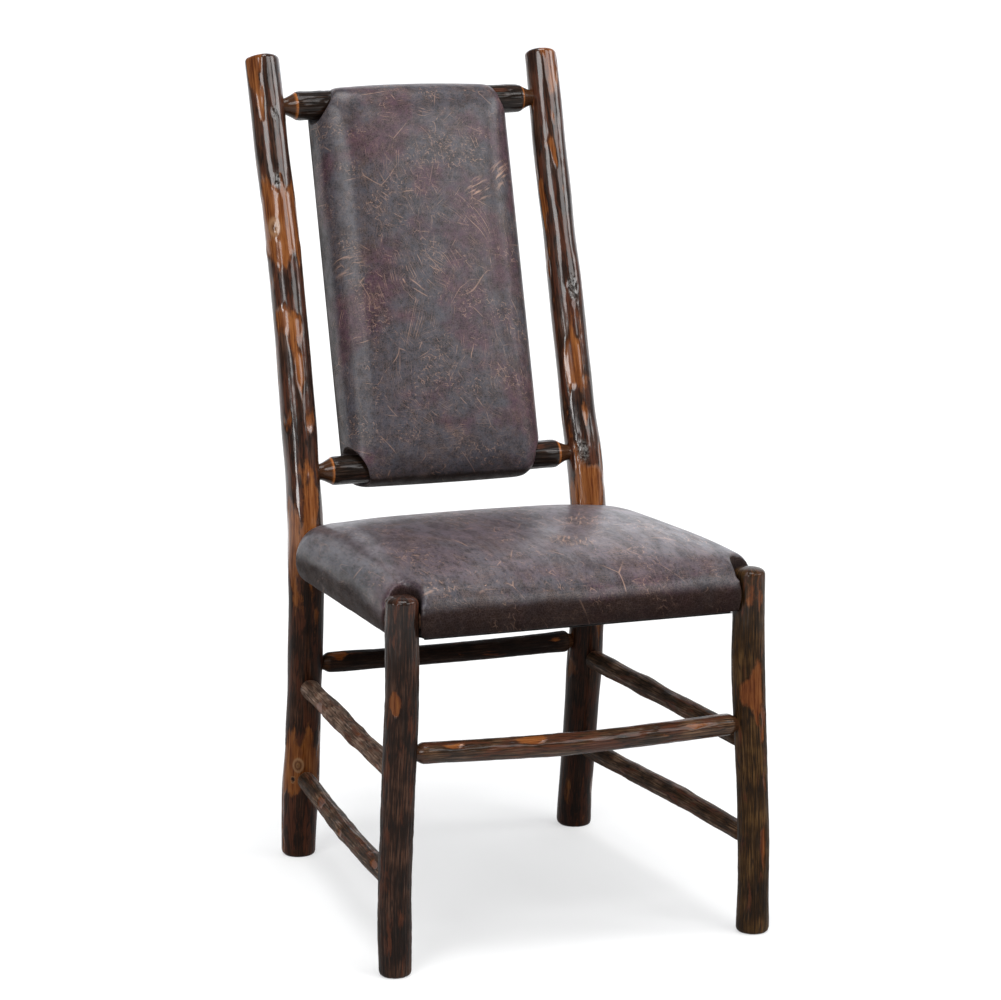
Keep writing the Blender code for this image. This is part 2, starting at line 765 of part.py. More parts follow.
def slit_leather(cover):
    """Cut the leather away where the rails leave it, at each post."""
    for name, rung in SEAT_RAILS.items():
        for end in (0, 1):
            inner = rung.point(end, rung.shoulder(end) + rung.cone)
            label = f"{name}_slit_{end}"
            radius = clear_radius(rung.radius, RAIL_SIDES)
            rod = rod_mesh(label, inner, rung.point(end, 0.0), radius, RAIL_SIDES)
            cut(cover, add_cutter(label, rod))
    for name in ("seat_front_rail", "seat_rear_rail"):
        rung = SEAT_RAILS[name]
        for end, post in enumerate(rung.ends):
            inward = Vector((-post.x, 0.0, 0.0)).normalized()
            inward.y = 1.0 if name == "seat_front_rail" else -1.0
            corner = post.xyz + inward.normalized() * (post.w + BARK_CLEAR + LEATHER / 2)
            rail = Vector((0.0, 0.0, SEAT_RAIL_D / 2))
            label = f"{name}_relief_{end}"
            rod = rod_mesh(label, corner - rail, corner + rail, NOTCH_RELIEF, PIN_SIDES)
            cut(cover, add_cutter(label, rod))


def slab_mesh(name, out, low, high):
    """A flat sheet with the seat's outline, between two levels of the seat's frame."""
    front_x, front_y, rear_x, rear_y = seat_corners(out)
    outline = bpy.data.curves.new(name, "CURVE")
    outline.dimensions = "2D"
    outline.fill_mode = "BOTH"
    outline.extrude = (high - low) / 2
    spline = outline.splines.new("POLY")
    spline.points.add(3)
    spline.use_cyclic_u = True
    corners = ((-front_x, front_y), (front_x, front_y), (rear_x, rear_y), (-rear_x, rear_y))
    for point, (x, y) in zip(spline.points, corners):
        point.co = (x, y, 0.0, 1.0)
    mesh = curve_to_mesh(name, outline)
    mesh.transform(seat_frame()[0] @ Matrix.Translation((0.0, 0.0, (high + low) / 2)))
    return mesh


def make_seat():
    frame = seat_frame()[0]
    under = seat_under()
    deck_low = SEAT_RAIL_D / 2 + GAP
    deck_high = deck_low + DECK
    skin = LEATHER + FOAM_CLEAR
    inside_cutters = notch_cutters("inside_notch", skin)
    lining_cutters = notch_cutters("lining_notch", LEATHER)
    outside_cutters = notch_cutters("outside_notch", 0.0)

    deck = add_part("seat_deck", slab_mesh("seat_deck", DECK_LIP, deck_low, deck_high), PLYWOOD)
    upward = frame.to_3x3() @ UP
    for row, y in (("front", 0.0), ("rear", seat_frame()[1])):
        for word, side in (("left", -1.0), ("right", 1.0)):
            point = frame @ Vector((side * DECK_SCREW_X, y, deck_high))
            drive_screw(f"deck_screw_{row}_{word}", point, upward,
                        (deck, SEAT_RAIL_PARTS[f"seat_{row}_rail"]))

    foam = add_part("seat_foam", cage_mesh("seat_foam", seat_place(skin)), FOAM)
    soften(foam)
    below = box_mesh("below_foam", (-FAR, -FAR, -FAR), (FAR, FAR, deck_high + GAP), frame)
    cut(foam, add_cutter("below_foam", below))

    cavity = add_cutter("seat_cavity", cage_mesh("seat_cavity", seat_place(LEATHER)))
    soften(cavity)
    cover = add_part("seat_cover", cage_mesh("seat_cover", seat_place(0.0)), LEATHER_LOOK)
    soften(cover)
    for part, cutters in ((deck, inside_cutters), (foam, inside_cutters),
                          (cavity, lining_cutters), (cover, outside_cutters)):
        for cutter in cutters:
            cut(part, cutter)
    cut(cover, cavity)
    mouth = SEAT_RAIL_D / 2 + SEAT_WRAP - TURN_UNDER
    cut(cover, add_cutter("seat_mouth", slab_mesh("seat_mouth", mouth, under - DECK, 0.0)))
    slit_leather(cover)

    sheet = slab_mesh("seat_dust_cover", DECK_LIP, under - GAP - CLOTH, under - GAP)
    dust = add_part("seat_dust_cover", sheet, CAMBRIC)
    for cutter in inside_cutters:
        cut(dust, cutter)


# Back panel

def panel_frame():
    """The panel's own frame: X across, Y up along it, Z forward, from the lower rail's axis."""
    (top, _), (lower, _) = BACK_RAILS
    origin = (lower.start + lower.finish) / 2
    up = (top.start + top.finish) / 2 - origin
    height = up.length
    forward = (top.axis + lower.axis).cross(up).normalized()
    up = up.normalized()
    across = up.cross(forward)
    turn = Matrix((across, up, forward)).transposed().to_4x4()
    return Matrix.Translation(origin) @ turn, height


def panel_depths():
    """How far the leather's front and rear lie from the axes of the rails, at the edge."""
    board = BACK_RAIL_D / 2 + GAP + PANEL_BOARD
    front = board + GAP + PANEL_EDGE_PAD + GAP + LEATHER
    rear = board + GAP + PANEL_REAR_PAD + GAP + LEATHER
    return front, rear


def panel_place(inset):
    """Places the points of a cage on the back panel, so far inside its leather."""
    frame, height = panel_frame()
    front, rear = panel_depths()
    low = -BACK_RAIL_D / 2 - PANEL_LOWER_WRAP + inset
    high = height + BACK_RAIL_D / 2 + PANEL_TOP_WRAP - inset
    half = PANEL_HALF_WIDTH - inset

    def place(point):
        u = towards_edge(point.x, half)
        v = towards_edge(point.y, (high - low) / 2)
        ahead = from_base(point.z, front + rear - 2 * inset)
        x = u * (half - PANEL_DRAW * (1.0 - v ** 2))
        y = low + (high - low) * (v + 1.0) / 2
        thickness = front + rear - 2 * inset + PANEL_CROWN * crown(u, v)
        return frame @ Vector((x, y, thickness * ahead - rear + inset))
    return place


def make_back():
    frame, height = panel_frame()
    rear = panel_depths()[1]
    half = PANEL_HALF_WIDTH - PANEL_INSET
    rail = BACK_RAIL_D / 2
    face = rail + GAP
    ends = (-rail / 2, height + rail / 2)
    skin = LEATHER + FOAM_CLEAR

    low, high = (-half, ends[0], face), (half, ends[1], face + PANEL_BOARD)
    board = add_part("back_board", box_mesh("back_board", low, high, frame), PLYWOOD)
    low, high = (-half, ends[0], -face - PANEL_BOARD), (half, ends[1], -face)
    add_part("outside_back_board", box_mesh("outside_back_board", low, high, frame), PLYWOOD)
    forward = frame.to_3x3() @ UP
    for (rung, part), row, level in zip(BACK_RAILS, ("top", "lower"), (height, 0.0)):
        for side, word in ((-1.0, "left"), (1.0, "right")):
            across = side * (half - BOARD_SCREW_INSET)
            point = frame @ Vector((across, level, face + PANEL_BOARD))
            drive_screw(f"board_screw_{row}_{word}", point, forward, (board, part))

    foam = add_part("back_foam", cage_mesh("back_foam", panel_place(skin)), FOAM)
    soften(foam)
    behind = box_mesh("behind_foam", (-FAR, -FAR, -FAR), (FAR, FAR, face + PANEL_BOARD + GAP),
                      frame)
    cut(foam, add_cutter("behind_foam", behind))

    cavity = add_cutter("back_cavity", cage_mesh("back_cavity", panel_place(LEATHER)))
    soften(cavity)
    cover = add_part("back_cover", cage_mesh("back_cover", panel_place(0.0)), LEATHER_LOOK)
    soften(cover)
    cut(cover, cavity)
    mouth_x = PANEL_HALF_WIDTH - TURN_UNDER
    mouth_y = rail - TURN_UNDER
    mouth = box_mesh("back_mouth", (-mouth_x, -mouth_y, -2 * rear),
                     (mouth_x, height + mouth_y, -face), frame)
    cut(cover, add_cutter("back_mouth", mouth))
    for rung, part in BACK_RAILS:
        label = f"{rung.name}_slit"
        radius = clear_radius(rung.radius, RAIL_SIDES, GAP)
        slit = rod_mesh(label, rung.start, rung.finish, radius, RAIL_SIDES)
        cut(cover, add_cutter(label, slit))

    rim = TURN_UNDER / 3
    low = (-PANEL_HALF_WIDTH + rim, -rail, -rear - GAP - LEATHER)
    high = (PANEL_HALF_WIDTH - rim, height + rail, -rear - GAP)
    panel = box_mesh("outside_back_panel", low, high, frame)
    add_part("outside_back_panel", panel, LEATHER_LOOK)


make_seat()
make_back()
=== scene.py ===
"""Looks of the rustic side chair: bark-on hickory poles, a leather seat and a leather back.

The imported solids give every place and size. Poles are measured on them and made again
with real bark, knots and bare patches. The cushions are made as stuffed leather forms.
Lengths are in metres. X runs to the right, the front faces -Y and Z is up.
"""

import itertools
import math

import bmesh
import bpy
import numpy as np
from mathutils import Matrix, Vector
from mathutils.bvhtree import BVHTree


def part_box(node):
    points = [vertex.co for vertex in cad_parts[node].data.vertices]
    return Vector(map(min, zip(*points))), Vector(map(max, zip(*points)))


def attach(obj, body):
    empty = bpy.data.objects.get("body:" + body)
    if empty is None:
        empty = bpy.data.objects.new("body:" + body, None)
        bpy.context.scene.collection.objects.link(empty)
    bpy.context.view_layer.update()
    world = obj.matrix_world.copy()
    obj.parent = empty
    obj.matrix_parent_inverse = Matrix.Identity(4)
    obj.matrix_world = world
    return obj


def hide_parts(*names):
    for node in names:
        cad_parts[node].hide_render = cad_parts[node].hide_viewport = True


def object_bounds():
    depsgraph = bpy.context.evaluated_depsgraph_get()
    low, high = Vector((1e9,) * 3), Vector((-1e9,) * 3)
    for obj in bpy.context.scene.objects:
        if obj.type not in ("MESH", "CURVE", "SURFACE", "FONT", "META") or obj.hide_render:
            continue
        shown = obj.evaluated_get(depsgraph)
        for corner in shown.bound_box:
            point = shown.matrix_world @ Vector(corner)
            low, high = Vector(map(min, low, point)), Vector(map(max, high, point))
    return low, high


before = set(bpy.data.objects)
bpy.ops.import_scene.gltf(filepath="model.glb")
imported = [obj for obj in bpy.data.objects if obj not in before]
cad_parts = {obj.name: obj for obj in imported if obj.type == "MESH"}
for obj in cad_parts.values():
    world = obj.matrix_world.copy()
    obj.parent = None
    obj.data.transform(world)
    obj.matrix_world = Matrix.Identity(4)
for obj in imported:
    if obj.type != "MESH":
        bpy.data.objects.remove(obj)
CAD_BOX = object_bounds()
UP = Vector((0.0, 0.0, 1.0))
RIGHT = Vector((1.0, 0.0, 0.0))

# Measuring the poles
PROBES = 36                   # rays round a pole at a station
PROBE_REACH = 0.060           # from where they start
PROBE_SLACK = 0.004           # a ray that differs more than this went into a hole
FACET_FILL = 1.012            # from the mean of a faceted ring to its full round
SKIN_DRAW = 0.0006            # half of the relief, taken off so that the bark ends on the solid
MEASURE_STEP = 0.010
FOOT_SKIP = 0.022             # the first height on a post that is measured
CROWN_SKIP = 0.030            # the last one, below its top
END_SLICE = 0.0015            # points this near the end of a rung belong to its end
TOP_LEAN = 0.8                # where a leaning top is highest, from its middle, in radii

# Mesh of a pole
STATION = 0.0030              # length between two rings
POST_SPREAD = 9.0             # stations over which a post's line is smoothed
RUNG_SPREAD = 1.0             # the same for a rung's radius, which has shoulders
POST_ROUND = 112              # points round a post
RUNG_ROUND = 80
FOOT_EASE = 0.006
DOME = 0.011                  # height of the round on a post's top
DOME_RINGS = 12
DOME_POWER = 3.6
TENON_HIDDEN = 0.016          # end of a tenon that is left out, inside its post
BODY_PERCENT = 80             # this percentile of a pole's radii is that of its body
SHOULDER = (0.05, 0.10)       # shares of that radius lost where shaved wood starts and is full
FOOT_ANGLES = (0.0, 30.0, 60.0)
TIP = 0.02                    # share of the radius left at the middle of the top

# Bark
BARK_DEPTH = 0.0008           # how far bare wood lies below the bark
RIDGE = 0.00075               # height of the ridges in the bark
LUMP = 0.0009                 # slow swells along a pole
BARE_SOFT = 0.22              # width of the step at the border of a bare patch

# Lumps of the noise on a pole, across it twice and along it
BARE_LARGE = (0.014, 0.014, 0.060)
BARE_SMALL = (0.006, 0.006, 0.022)
RIDGE_LARGE = (0.0036, 0.0036, 0.034)
RIDGE_SMALL = (0.0022, 0.0022, 0.016)
RIDGE_CROSS = (0.012, 0.012, 0.006)
SCAR_FLAKES = (0.004, 0.004, 0.005)
LUMP_SIZE = (0.030, 0.030, 0.060)


# Noise

def lattice(cells, seed):
    """A fixed value from 0 to 1 for each whole-numbered cell."""
    x, y, z = (cells[:, axis].astype(np.int64) for axis in range(3))
    mixed = (x * 73856093) ^ (y * 19349663) ^ (z * 83492791) ^ (seed * 2654435761)
    mixed = ((mixed ^ (mixed >> 13)) * 1274126177) & 0xFFFFFFFF
    mixed = mixed ^ (mixed >> 16)
    return (mixed & 0xFFFFFF) / 0xFFFFFF


def noise(points, size, seed):
    """Smooth noise from -1 to 1, with lumps of these sizes along the three axes."""
    cell = points / np.asarray(size)
    base = np.floor(cell)
    part = cell - base
    blend = part * part * (3.0 - 2.0 * part)
    total = np.zeros(len(points))
    for corner in itertools.product((0, 1), repeat=3):
        share = np.prod(np.where(corner, blend, 1.0 - blend), axis=1)
        total += share * lattice(base + np.array(corner), seed)
    return 2.0 * total - 1.0


def step_up(values, low, high):
    """0 below low, 1 above high and a smooth rise between."""
    share = np.clip((values - low) / (high - low), 0.0, 1.0)
    return share * share * (3.0 - 2.0 * share)


# Measuring

def node_points(name):
    return np.array([vert.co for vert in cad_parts[name].data.vertices])


def node_tree(name):
    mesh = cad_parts[name].data
    points = [vert.co for vert in mesh.vertices]
    return BVHTree.FromPolygons(points, [face.vertices for face in mesh.polygons])


def fit_ring(tree, centre, side, other):
    """Centre and radius of the round that rays from all sides hit first."""
    found = []
    for probe in range(PROBES):
        angle = math.tau * probe / PROBES
        out = side * math.cos(angle) + other * math.sin(angle)
        hit = tree.ray_cast(centre + out * PROBE_REACH, -out, PROBE_REACH)[0]
        if hit is not None:
            found.append(((hit - centre).dot(side), (hit - centre).dot(other)))
    flat = np.array(found)
    reach = np.hypot(flat[:, 0], flat[:, 1])
    kept = flat[np.abs(reach - np.median(reach)) < PROBE_SLACK]
    system = np.c_[2.0 * kept, np.ones(len(kept))]
    x, y, rest = np.linalg.lstsq(system, (kept ** 2).sum(axis=1), rcond=None)[0]
    return centre + side * x + other * y, math.sqrt(rest + x * x + y * y)


def smooth(values, spread):
    """Values averaged along a pole with a bell of this many stations, ends kept."""
    reach = int(3 * spread) + 1
    bell = np.exp(-0.5 * (np.arange(-reach, reach + 1) / spread) ** 2)
    bell /= bell.sum()
    table = values.reshape(len(values), -1)
    padded = np.pad(table, ((reach, reach), (0, 0)), mode="reflect", reflect_type="odd")
    columns = [np.convolve(column, bell, "valid") for column in padded.T]
    return np.stack(columns, axis=1).reshape(values.shape)


def at_places(places, known, table):
    """Rows of a table at any places, from the places where it is known."""
    return np.stack([np.interp(places, known, column) for column in table.T], axis=1)


def resample(line, radius, step):
    """The line with its radius at even steps of its own length."""
    lengths = np.linalg.norm(np.diff(line, axis=0), axis=1)
    run = np.concatenate(([0.0], np.cumsum(lengths)))
    places = np.linspace(0.0, run[-1], max(2, round(run[-1] / step)) + 1)
    return at_places(places, run, line), np.interp(places, run, radius), places


class Pole:
    """A measured pole: its line, radius and length at each station, and its two cross axes."""

    def __init__(self, name, line, radius, places, upright):
        self.name = name
        self.line = line
        self.radius = radius
        self.places = places
        along = np.gradient(line, axis=0)
        along /= np.linalg.norm(along, axis=1)[:, None]
        guide = np.array(RIGHT if upright else UP)
        across = guide - along * (along @ guide)[:, None]
        across /= np.linalg.norm(across, axis=1)[:, None]
        if upright:
            self.side, self.other = across, np.cross(along, across)
        else:
            self.side, self.other = np.cross(along, across), across

    def at_height(self, height):
        """Centre and radius of a post at a height."""
        centre = [np.interp(height, self.line[:, 2], column) for column in self.line.T]
        return Vector(centre), float(np.interp(height, self.line[:, 2], self.radius))


def measure_post(name):
    tree = node_tree(name)
    low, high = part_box(name)
    points = node_points(name)
    foot = points[points[:, 2] < low.z + END_SLICE]
    centre = Vector((foot.min(axis=0) + foot.max(axis=0)) / 2.0)
    line, radius = [], []
    for height in np.arange(low.z + FOOT_SKIP, high.z - CROWN_SKIP, MEASURE_STEP):
        centre.z = height
        centre, size = fit_ring(tree, centre, RIGHT, UP.cross(RIGHT))
        line.append(centre)
        radius.append(size * FACET_FILL)
        centre = centre.copy()
    line = np.array(line)
    way = line[-1] - line[-4]
    way /= np.linalg.norm(way)
    lean = math.sqrt(1.0 - way[2] ** 2)
    top = high.z - lean * radius[-1] * TOP_LEAN
    line = np.vstack(([[line[0][0], line[0][1], low.z]], line,
                      [line[-1] + way * (top - line[-1][2]) / way[2]]))
    radius = np.array([radius[0], *radius, radius[-1]])
    line, radius, places = resample(line, radius, STATION)
    return Pole(name, smooth(line, POST_SPREAD), smooth(radius, POST_SPREAD), places, True)


def rung_ends(name):
    """The middles of a rung's two end faces, the left or front one first."""
    points = node_points(name)
    axis = int(np.argmax(np.ptp(points[:, :2], axis=0)))
    reach = points[:, axis]
    first = points[reach < reach.min() + END_SLICE]
    last = points[reach > reach.max() - END_SLICE]
    return [Vector((end.min(axis=0) + end.max(axis=0)) / 2.0) for end in (first, last)]


def measure_rung(name):
    tree = node_tree(name)
    start, end = rung_ends(name)
    axis = (end - start).normalized()
    upward = (UP - axis * axis.dot(UP)).normalized()
    length = (end - start).length
    line, radius = [], []
    centre = start + axis * TENON_HIDDEN
    for place in np.arange(TENON_HIDDEN, length - TENON_HIDDEN, STATION / 2):
        centre = centre + axis * (place - (centre - start).dot(axis))
        centre, size = fit_ring(tree, centre, axis.cross(upward), upward)
        line.append(centre)
        radius.append(size * FACET_FILL)
    line, radius, places = resample(np.array(line), np.array(radius), STATION)
    return Pole(name, smooth(line, POST_SPREAD), smooth(radius, RUNG_SPREAD), places, False)


# Meshes

def add_object(name, data):
    made = bpy.data.objects.new(name, data)
    bpy.context.scene.collection.objects.link(made)
    return made


def new_piece(name, points, faces):
    mesh = bpy.data.meshes.new(name)
    mesh.from_pydata([tuple(point) for point in points], [], faces)
    mesh.validate()
    face_out(mesh)
    mesh.shade_smooth()
    return add_object(name, mesh)


def face_out(mesh):
    bm = bmesh.new()
    bm.from_mesh(mesh)
    bmesh.ops.recalc_face_normals(bm, faces=bm.faces)
    bm.to_mesh(mesh)
    bm.free()


def tube_faces(rings, sides):
    """Faces of a closed tube whose two end points come after its rings."""
    faces = []
    for ring, turn in itertools.product(range(rings - 1), range(sides)):
        a = ring * sides + turn
        b = ring * sides + (turn + 1) % sides
        faces.append((a, b, b + sides, a + sides))
    for first, tip in ((0, rings * sides), ((rings - 1) * sides, rings * sides + 1)):
        for turn in range(sides):
            faces.append((first + turn, first + (turn + 1) % sides, tip))
    return faces


def coordinates(piece):
    flat = np.empty(len(piece.data.vertices) * 3)
    piece.data.vertices.foreach_get("co", flat)
    return flat.reshape(-1, 3)


def set_coordinates(piece, points):
    piece.data.vertices.foreach_set("co", points.ravel())
    piece.data.update()


def add_field(piece, name, values):
    """A value, or a place, at each point of a mesh for its material to read."""
    kind = "FLOAT" if values.ndim == 1 else "FLOAT_VECTOR"
    field = piece.data.attributes.new(name, kind, "POINT")
    field.data.foreach_set("value" if values.ndim == 1 else "vector", values.ravel())


# Bark poles

class Look:
    """How a pole's skin differs: share of bare wood, its patches, knots and scars.

    A patch or a scar is place along the pole, turn round it in degrees, length, width and
    strength. A knot is place, turn, radius, height and how clear its rings are. On a post
    the place is its height and the turn is from +X. On a rung it is from the left or front
    end, and the turn is from the front or right side, upwards.
    """

    def __init__(self, bark=0.55, patches=(), knots=(), scars=(), ridge=1.0, lump=1.0):
        self.bark = bark
        self.patches = patches
        self.knots = knots
        self.scars = scars
        self.ridge = ridge
        self.lump = lump


LOOKS = {
    "rear_post_left": Look(
        bark=0.62, ridge=0.28, lump=1.7,
        patches=((1.088, -140, 0.022, 0.016, 1.2), (1.06, -160, 0.030, 0.008, 0.9),
                 (0.858, -128, 0.042, 0.060, 1.7), (0.738, -138, 0.022, 0.012, 1.0),
                 (0.729, -69, 0.016, 0.010, 1.1), (0.673, -90, 0.026, 0.004, 0.9),
                 (0.606, -72, 0.022, 0.011, 1.1), (0.608, -151, 0.016, 0.009, 1.0),
                 (0.500, -75, 0.026, 0.009, 1.0), (0.440, -135, 0.050, 0.016, 1.2),
                 (0.130, -125, 0.034, 0.045, 1.7)),
        knots=((0.861, -131, 0.0120, 0.0014, 0.58), (0.141, -119, 0.0085, 0.0022, 0.85),
               (0.119, -135, 0.004, -0.0012, 1.0), (0.300, -100, 0.006, 0.0012, 0.0)),
        scars=((1.009, -84, 0.012, 0.006, 0.7), (0.920, -100, 0.016, 0.006, 0.7)),
    ),
    "rear_post_right": Look(
        bark=0.66, ridge=0.28, lump=1.6,
        patches=((1.086, -85, 0.016, 0.030, 1.2), (1.055, -66, 0.026, 0.010, 1.1),
                 (0.958, -114, 0.012, 0.008, 1.1), (0.935, -100, 0.016, 0.005, 1.0),
                 (0.880, -150, 0.050, 0.008, 0.9), (0.668, -111, 0.030, 0.013, 1.3),
                 (0.600, -150, 0.040, 0.008, 1.0), (0.497, -98, 0.034, 0.026, 1.5),
                 (0.330, -60, 0.050, 0.012, 0.9)),
        knots=((0.768, -88, 0.006, 0.0018, 0.0),),
        scars=((0.762, -88, 0.018, 0.007, 0.9), (0.545, -112, 0.020, 0.011, 0.7)),
    ),
    "front_post_left": Look(
        bark=1.30, ridge=1.3,
        patches=((0.348, -133, 0.016, 0.009, 2.1), (0.462, -80, 0.010, 0.012, 1.2),
                 (0.130, -80, 0.030, 0.005, 1.1)),
    ),
    "front_post_right": Look(
        bark=1.15, ridge=0.9, lump=1.3,
        patches=((0.452, -92, 0.036, 0.018, 1.2), (0.330, -70, 0.060, 0.014, 1.2),
                 (0.318, -125, 0.022, 0.012, 1.4), (0.210, -60, 0.060, 0.010, 1.3),
                 (0.230, -138, 0.020, 0.006, 1.2), (0.110, -75, 0.050, 0.007, 1.3)),
    ),
    "front_stretcher": Look(
        bark=0.95, ridge=0.8, lump=1.3,
        patches=((0.075, 40, 0.016, 0.006, 1.2), (0.180, 60, 0.020, 0.007, 1.2),
                 (0.300, 20, 0.024, 0.006, 1.1), (0.400, 30, 0.034, 0.008, 1.3),
                 (0.440, 60, 0.016, 0.006, 1.2)),
    ),
    "rear_stretcher": Look(
        bark=0.86, ridge=0.6,
        patches=((0.050, 54, 0.014, 0.008, 1.2), (0.363, 20, 0.016, 0.008, 1.1)),
        knots=((0.368, 0, 0.008, 0.0020, 0.0),),
    ),
    "left_upper_stretcher": Look(
        bark=0.84, ridge=0.8, lump=1.8,
        patches=((0.365, 184, 0.020, 0.012, 1.5), (0.060, 186, 0.020, 0.007, 1.2)),
    ),
    "left_lower_stretcher": Look(
        bark=0.80, ridge=0.8, lump=1.6,
        patches=((0.364, 127, 0.014, 0.007, 1.3), (0.239, 170, 0.012, 0.008, 1.3),
                 (0.075, 140, 0.018, 0.007, 1.2)),
    ),
    "right_upper_stretcher": Look(bark=0.86, ridge=0.8, lump=1.3),
    "right_lower_stretcher": Look(bark=0.86, ridge=0.8, lump=1.6),
    "top_back_rail": Look(bark=1.05, ridge=1.2, lump=0.5),
    "lower_back_rail": Look(bark=1.05, ridge=1.2, lump=0.5),
}


def spot(places, turns, radius, place, turn, length, width):
    """Squared distance from a spot on a pole, in lengths and widths of that spot."""
    angle = np.radians(turns - turn)
    gap = np.arctan2(np.sin(angle), np.cos(angle)) * radius
    return ((places - place) / length) ** 2 + (gap / width) ** 2


def pole_skin(look, body, places, turns, seed):
    """Height of the skin over a plain round pole, with its fields."""
    angle = np.radians(turns)
    flat = np.stack((body * np.cos(angle), body * np.sin(angle), places), axis=1)
    bare = 0.8 * noise(flat, BARE_LARGE, seed)
    bare += 0.45 * noise(flat, BARE_SMALL, seed + 1) - look.bark
    for place, turn, length, width, strength in look.patches:
        bare += strength * np.exp(-spot(places, turns, body, place, turn, length, width))
    knot = np.zeros(len(flat))
    scar = np.zeros(len(flat))
    swell = np.zeros(len(flat))
    for place, turn, size, height, clear in look.knots:
        far = np.sqrt(spot(places, turns, body, place, turn, 1.35 * size, size))
        rise = (1.3 - far) / 1.3 if height > 0.0 else (1.0 - far) / 0.35
        knot = np.maximum(knot, clear * np.clip(rise, 0.0, 1.0))
        swell += height * np.exp(-1.4 * far ** 2) * (1.0 + 0.35 * np.cos(7.0 * far))
    for place, turn, length, width, strength in look.scars:
        near = np.exp(-spot(places, turns, body, place, turn, length, width))
        scar = np.maximum(scar, strength * near)
    rough = np.abs(noise(flat, RIDGE_LARGE, seed + 2))
    fine = np.abs(noise(flat, RIDGE_SMALL, seed + 3))
    cross = noise(flat, RIDGE_CROSS, seed + 4)
    ridges = (0.5 - rough) + 0.6 * (0.4 - fine) + 0.25 * cross
    open_wood = step_up(bare, -BARE_SOFT, BARE_SOFT)
    swell += look.ridge * RIDGE * ridges * (1.0 - 0.85 * open_wood)
    swell += RIDGE * scar * noise(flat, SCAR_FLAKES, seed + 5) * 2.2
    swell += look.lump * LUMP * noise(flat, LUMP_SIZE, seed + 6)
    swell += (0.5 - open_wood) * BARK_DEPTH
    return swell, {"pole": flat, "bare": bare, "knot": knot, "scar": scar}


def build_pole(pole, upright, seed):
    """The whole skin of a pole, closed at both ends."""
    sides = POST_ROUND if upright else RUNG_ROUND
    body = float(np.percentile(pole.radius, BODY_PERCENT))
    places, shrink = pole_ends(pole).T if upright else (pole.places, np.ones(len(pole.places)))
    at, side, other = (at_places(places, pole.places, table)
                       for table in (pole.line, pole.side, pole.other))
    size = np.interp(places, pole.places, pole.radius)
    turns = np.tile(np.arange(sides) * 360.0 / sides, len(places))
    marks = np.repeat(at[:, 2] if upright else places + TENON_HIDDEN, sides)
    swell, fields = pole_skin(LOOKS[pole.name], body, marks, turns, seed)
    shaved = np.repeat(step_up(1.0 - size / body, *SHOULDER), sides)
    reach = np.repeat(size, sides) - SKIN_DRAW + swell * (1.0 - shaved)
    reach *= np.repeat(shrink, sides)
    angle = np.radians(turns)
    out = np.cos(angle)[:, None] * np.repeat(side, sides, axis=0)
    out += np.sin(angle)[:, None] * np.repeat(other, sides, axis=0)
    points = np.repeat(at, sides, axis=0) + out * reach[:, None]
    points = np.vstack((points, at[:1], at[-1:]))
    if upright:
        points[:, 2] = np.maximum(points[:, 2], CAD_BOX[0].z)
    piece = new_piece(f"{pole.name}_bark", points, tube_faces(len(places), sides))
    fields["shaved"] = shaved
    for name, values in fields.items():
        add_field(piece, name, np.concatenate((values, values[[0, -1]])))
    return piece


def pole_ends(pole):
    """Places and radius shares along a post: an eased foot, the body and a domed top."""
    length = pole.places[-1]
    size = pole.radius[0]
    rows = []
    for angle in np.radians(FOOT_ANGLES):
        ease = FOOT_EASE * (1.0 - math.sin(angle))
        rows.append((FOOT_EASE * (1.0 - math.cos(angle)), 1.0 - ease / size))
    for place in pole.places:
        if FOOT_EASE < place < length - DOME:
            rows.append((place, 1.0))
    for ring in range(1, DOME_RINGS):
        share = math.sin(math.pi / 2 * ring / DOME_RINGS)
        rows.append((length - DOME + DOME * share, (1.0 - share ** DOME_POWER) ** 0.5))
    rows.append((length, TIP))
    return np.array(rows)


# Stuffed leather

def round_corners(corners, radii, step):
    """Points of a closed outline through corners that are rounded by these radii."""
    outline = []
    count = len(corners)
    for index, radius in enumerate(radii):
        here = Vector(corners[index])
        before = (Vector(corners[index - 1]) - here).normalized()
        after = (Vector(corners[(index + 1) % count]) - here).normalized()
        half = before.angle(after) / 2.0
        middle = here + (before + after).normalized() * radius / math.sin(half)
        start = here + before * radius / math.tan(half) - middle
        end = here + after * radius / math.tan(half) - middle
        turns = max(4, round(start.angle(end) * radius / step))
        for turn in range(turns + 1):
            arm = start.slerp(end, turn / turns) * radius
            outline.append(middle + arm)
    return fill_runs([tuple(point) for point in outline], step)


def fill_runs(points, step):
    """The same closed outline with points no further apart than a step."""
    filled = []
    for here, after in zip(points, points[1:] + points[:1]):
        gap = math.dist(here, after)
        parts = max(1, round(gap / step))
        for part in range(parts):
            share = part / parts
            filled.append([a + (b - a) * share for a, b in zip(here, after)])
    return np.array(filled)


# Rings of a stuffed form: shares of its plan below and on top, angles of its two rolls, and
# shares of the height of its sides
UNDER_SHARES = np.linspace(0.08, 0.98, 14)
TOP_SHARES = np.linspace(0.96, 0.06, 22)
BASE_ANGLES = np.radians(np.linspace(0.0, 90.0, 6))
ROLL_ANGLES = np.radians(np.linspace(6.0, 90.0, 15))
SIDE_RISES = np.linspace(0.15, 1.0, 8)


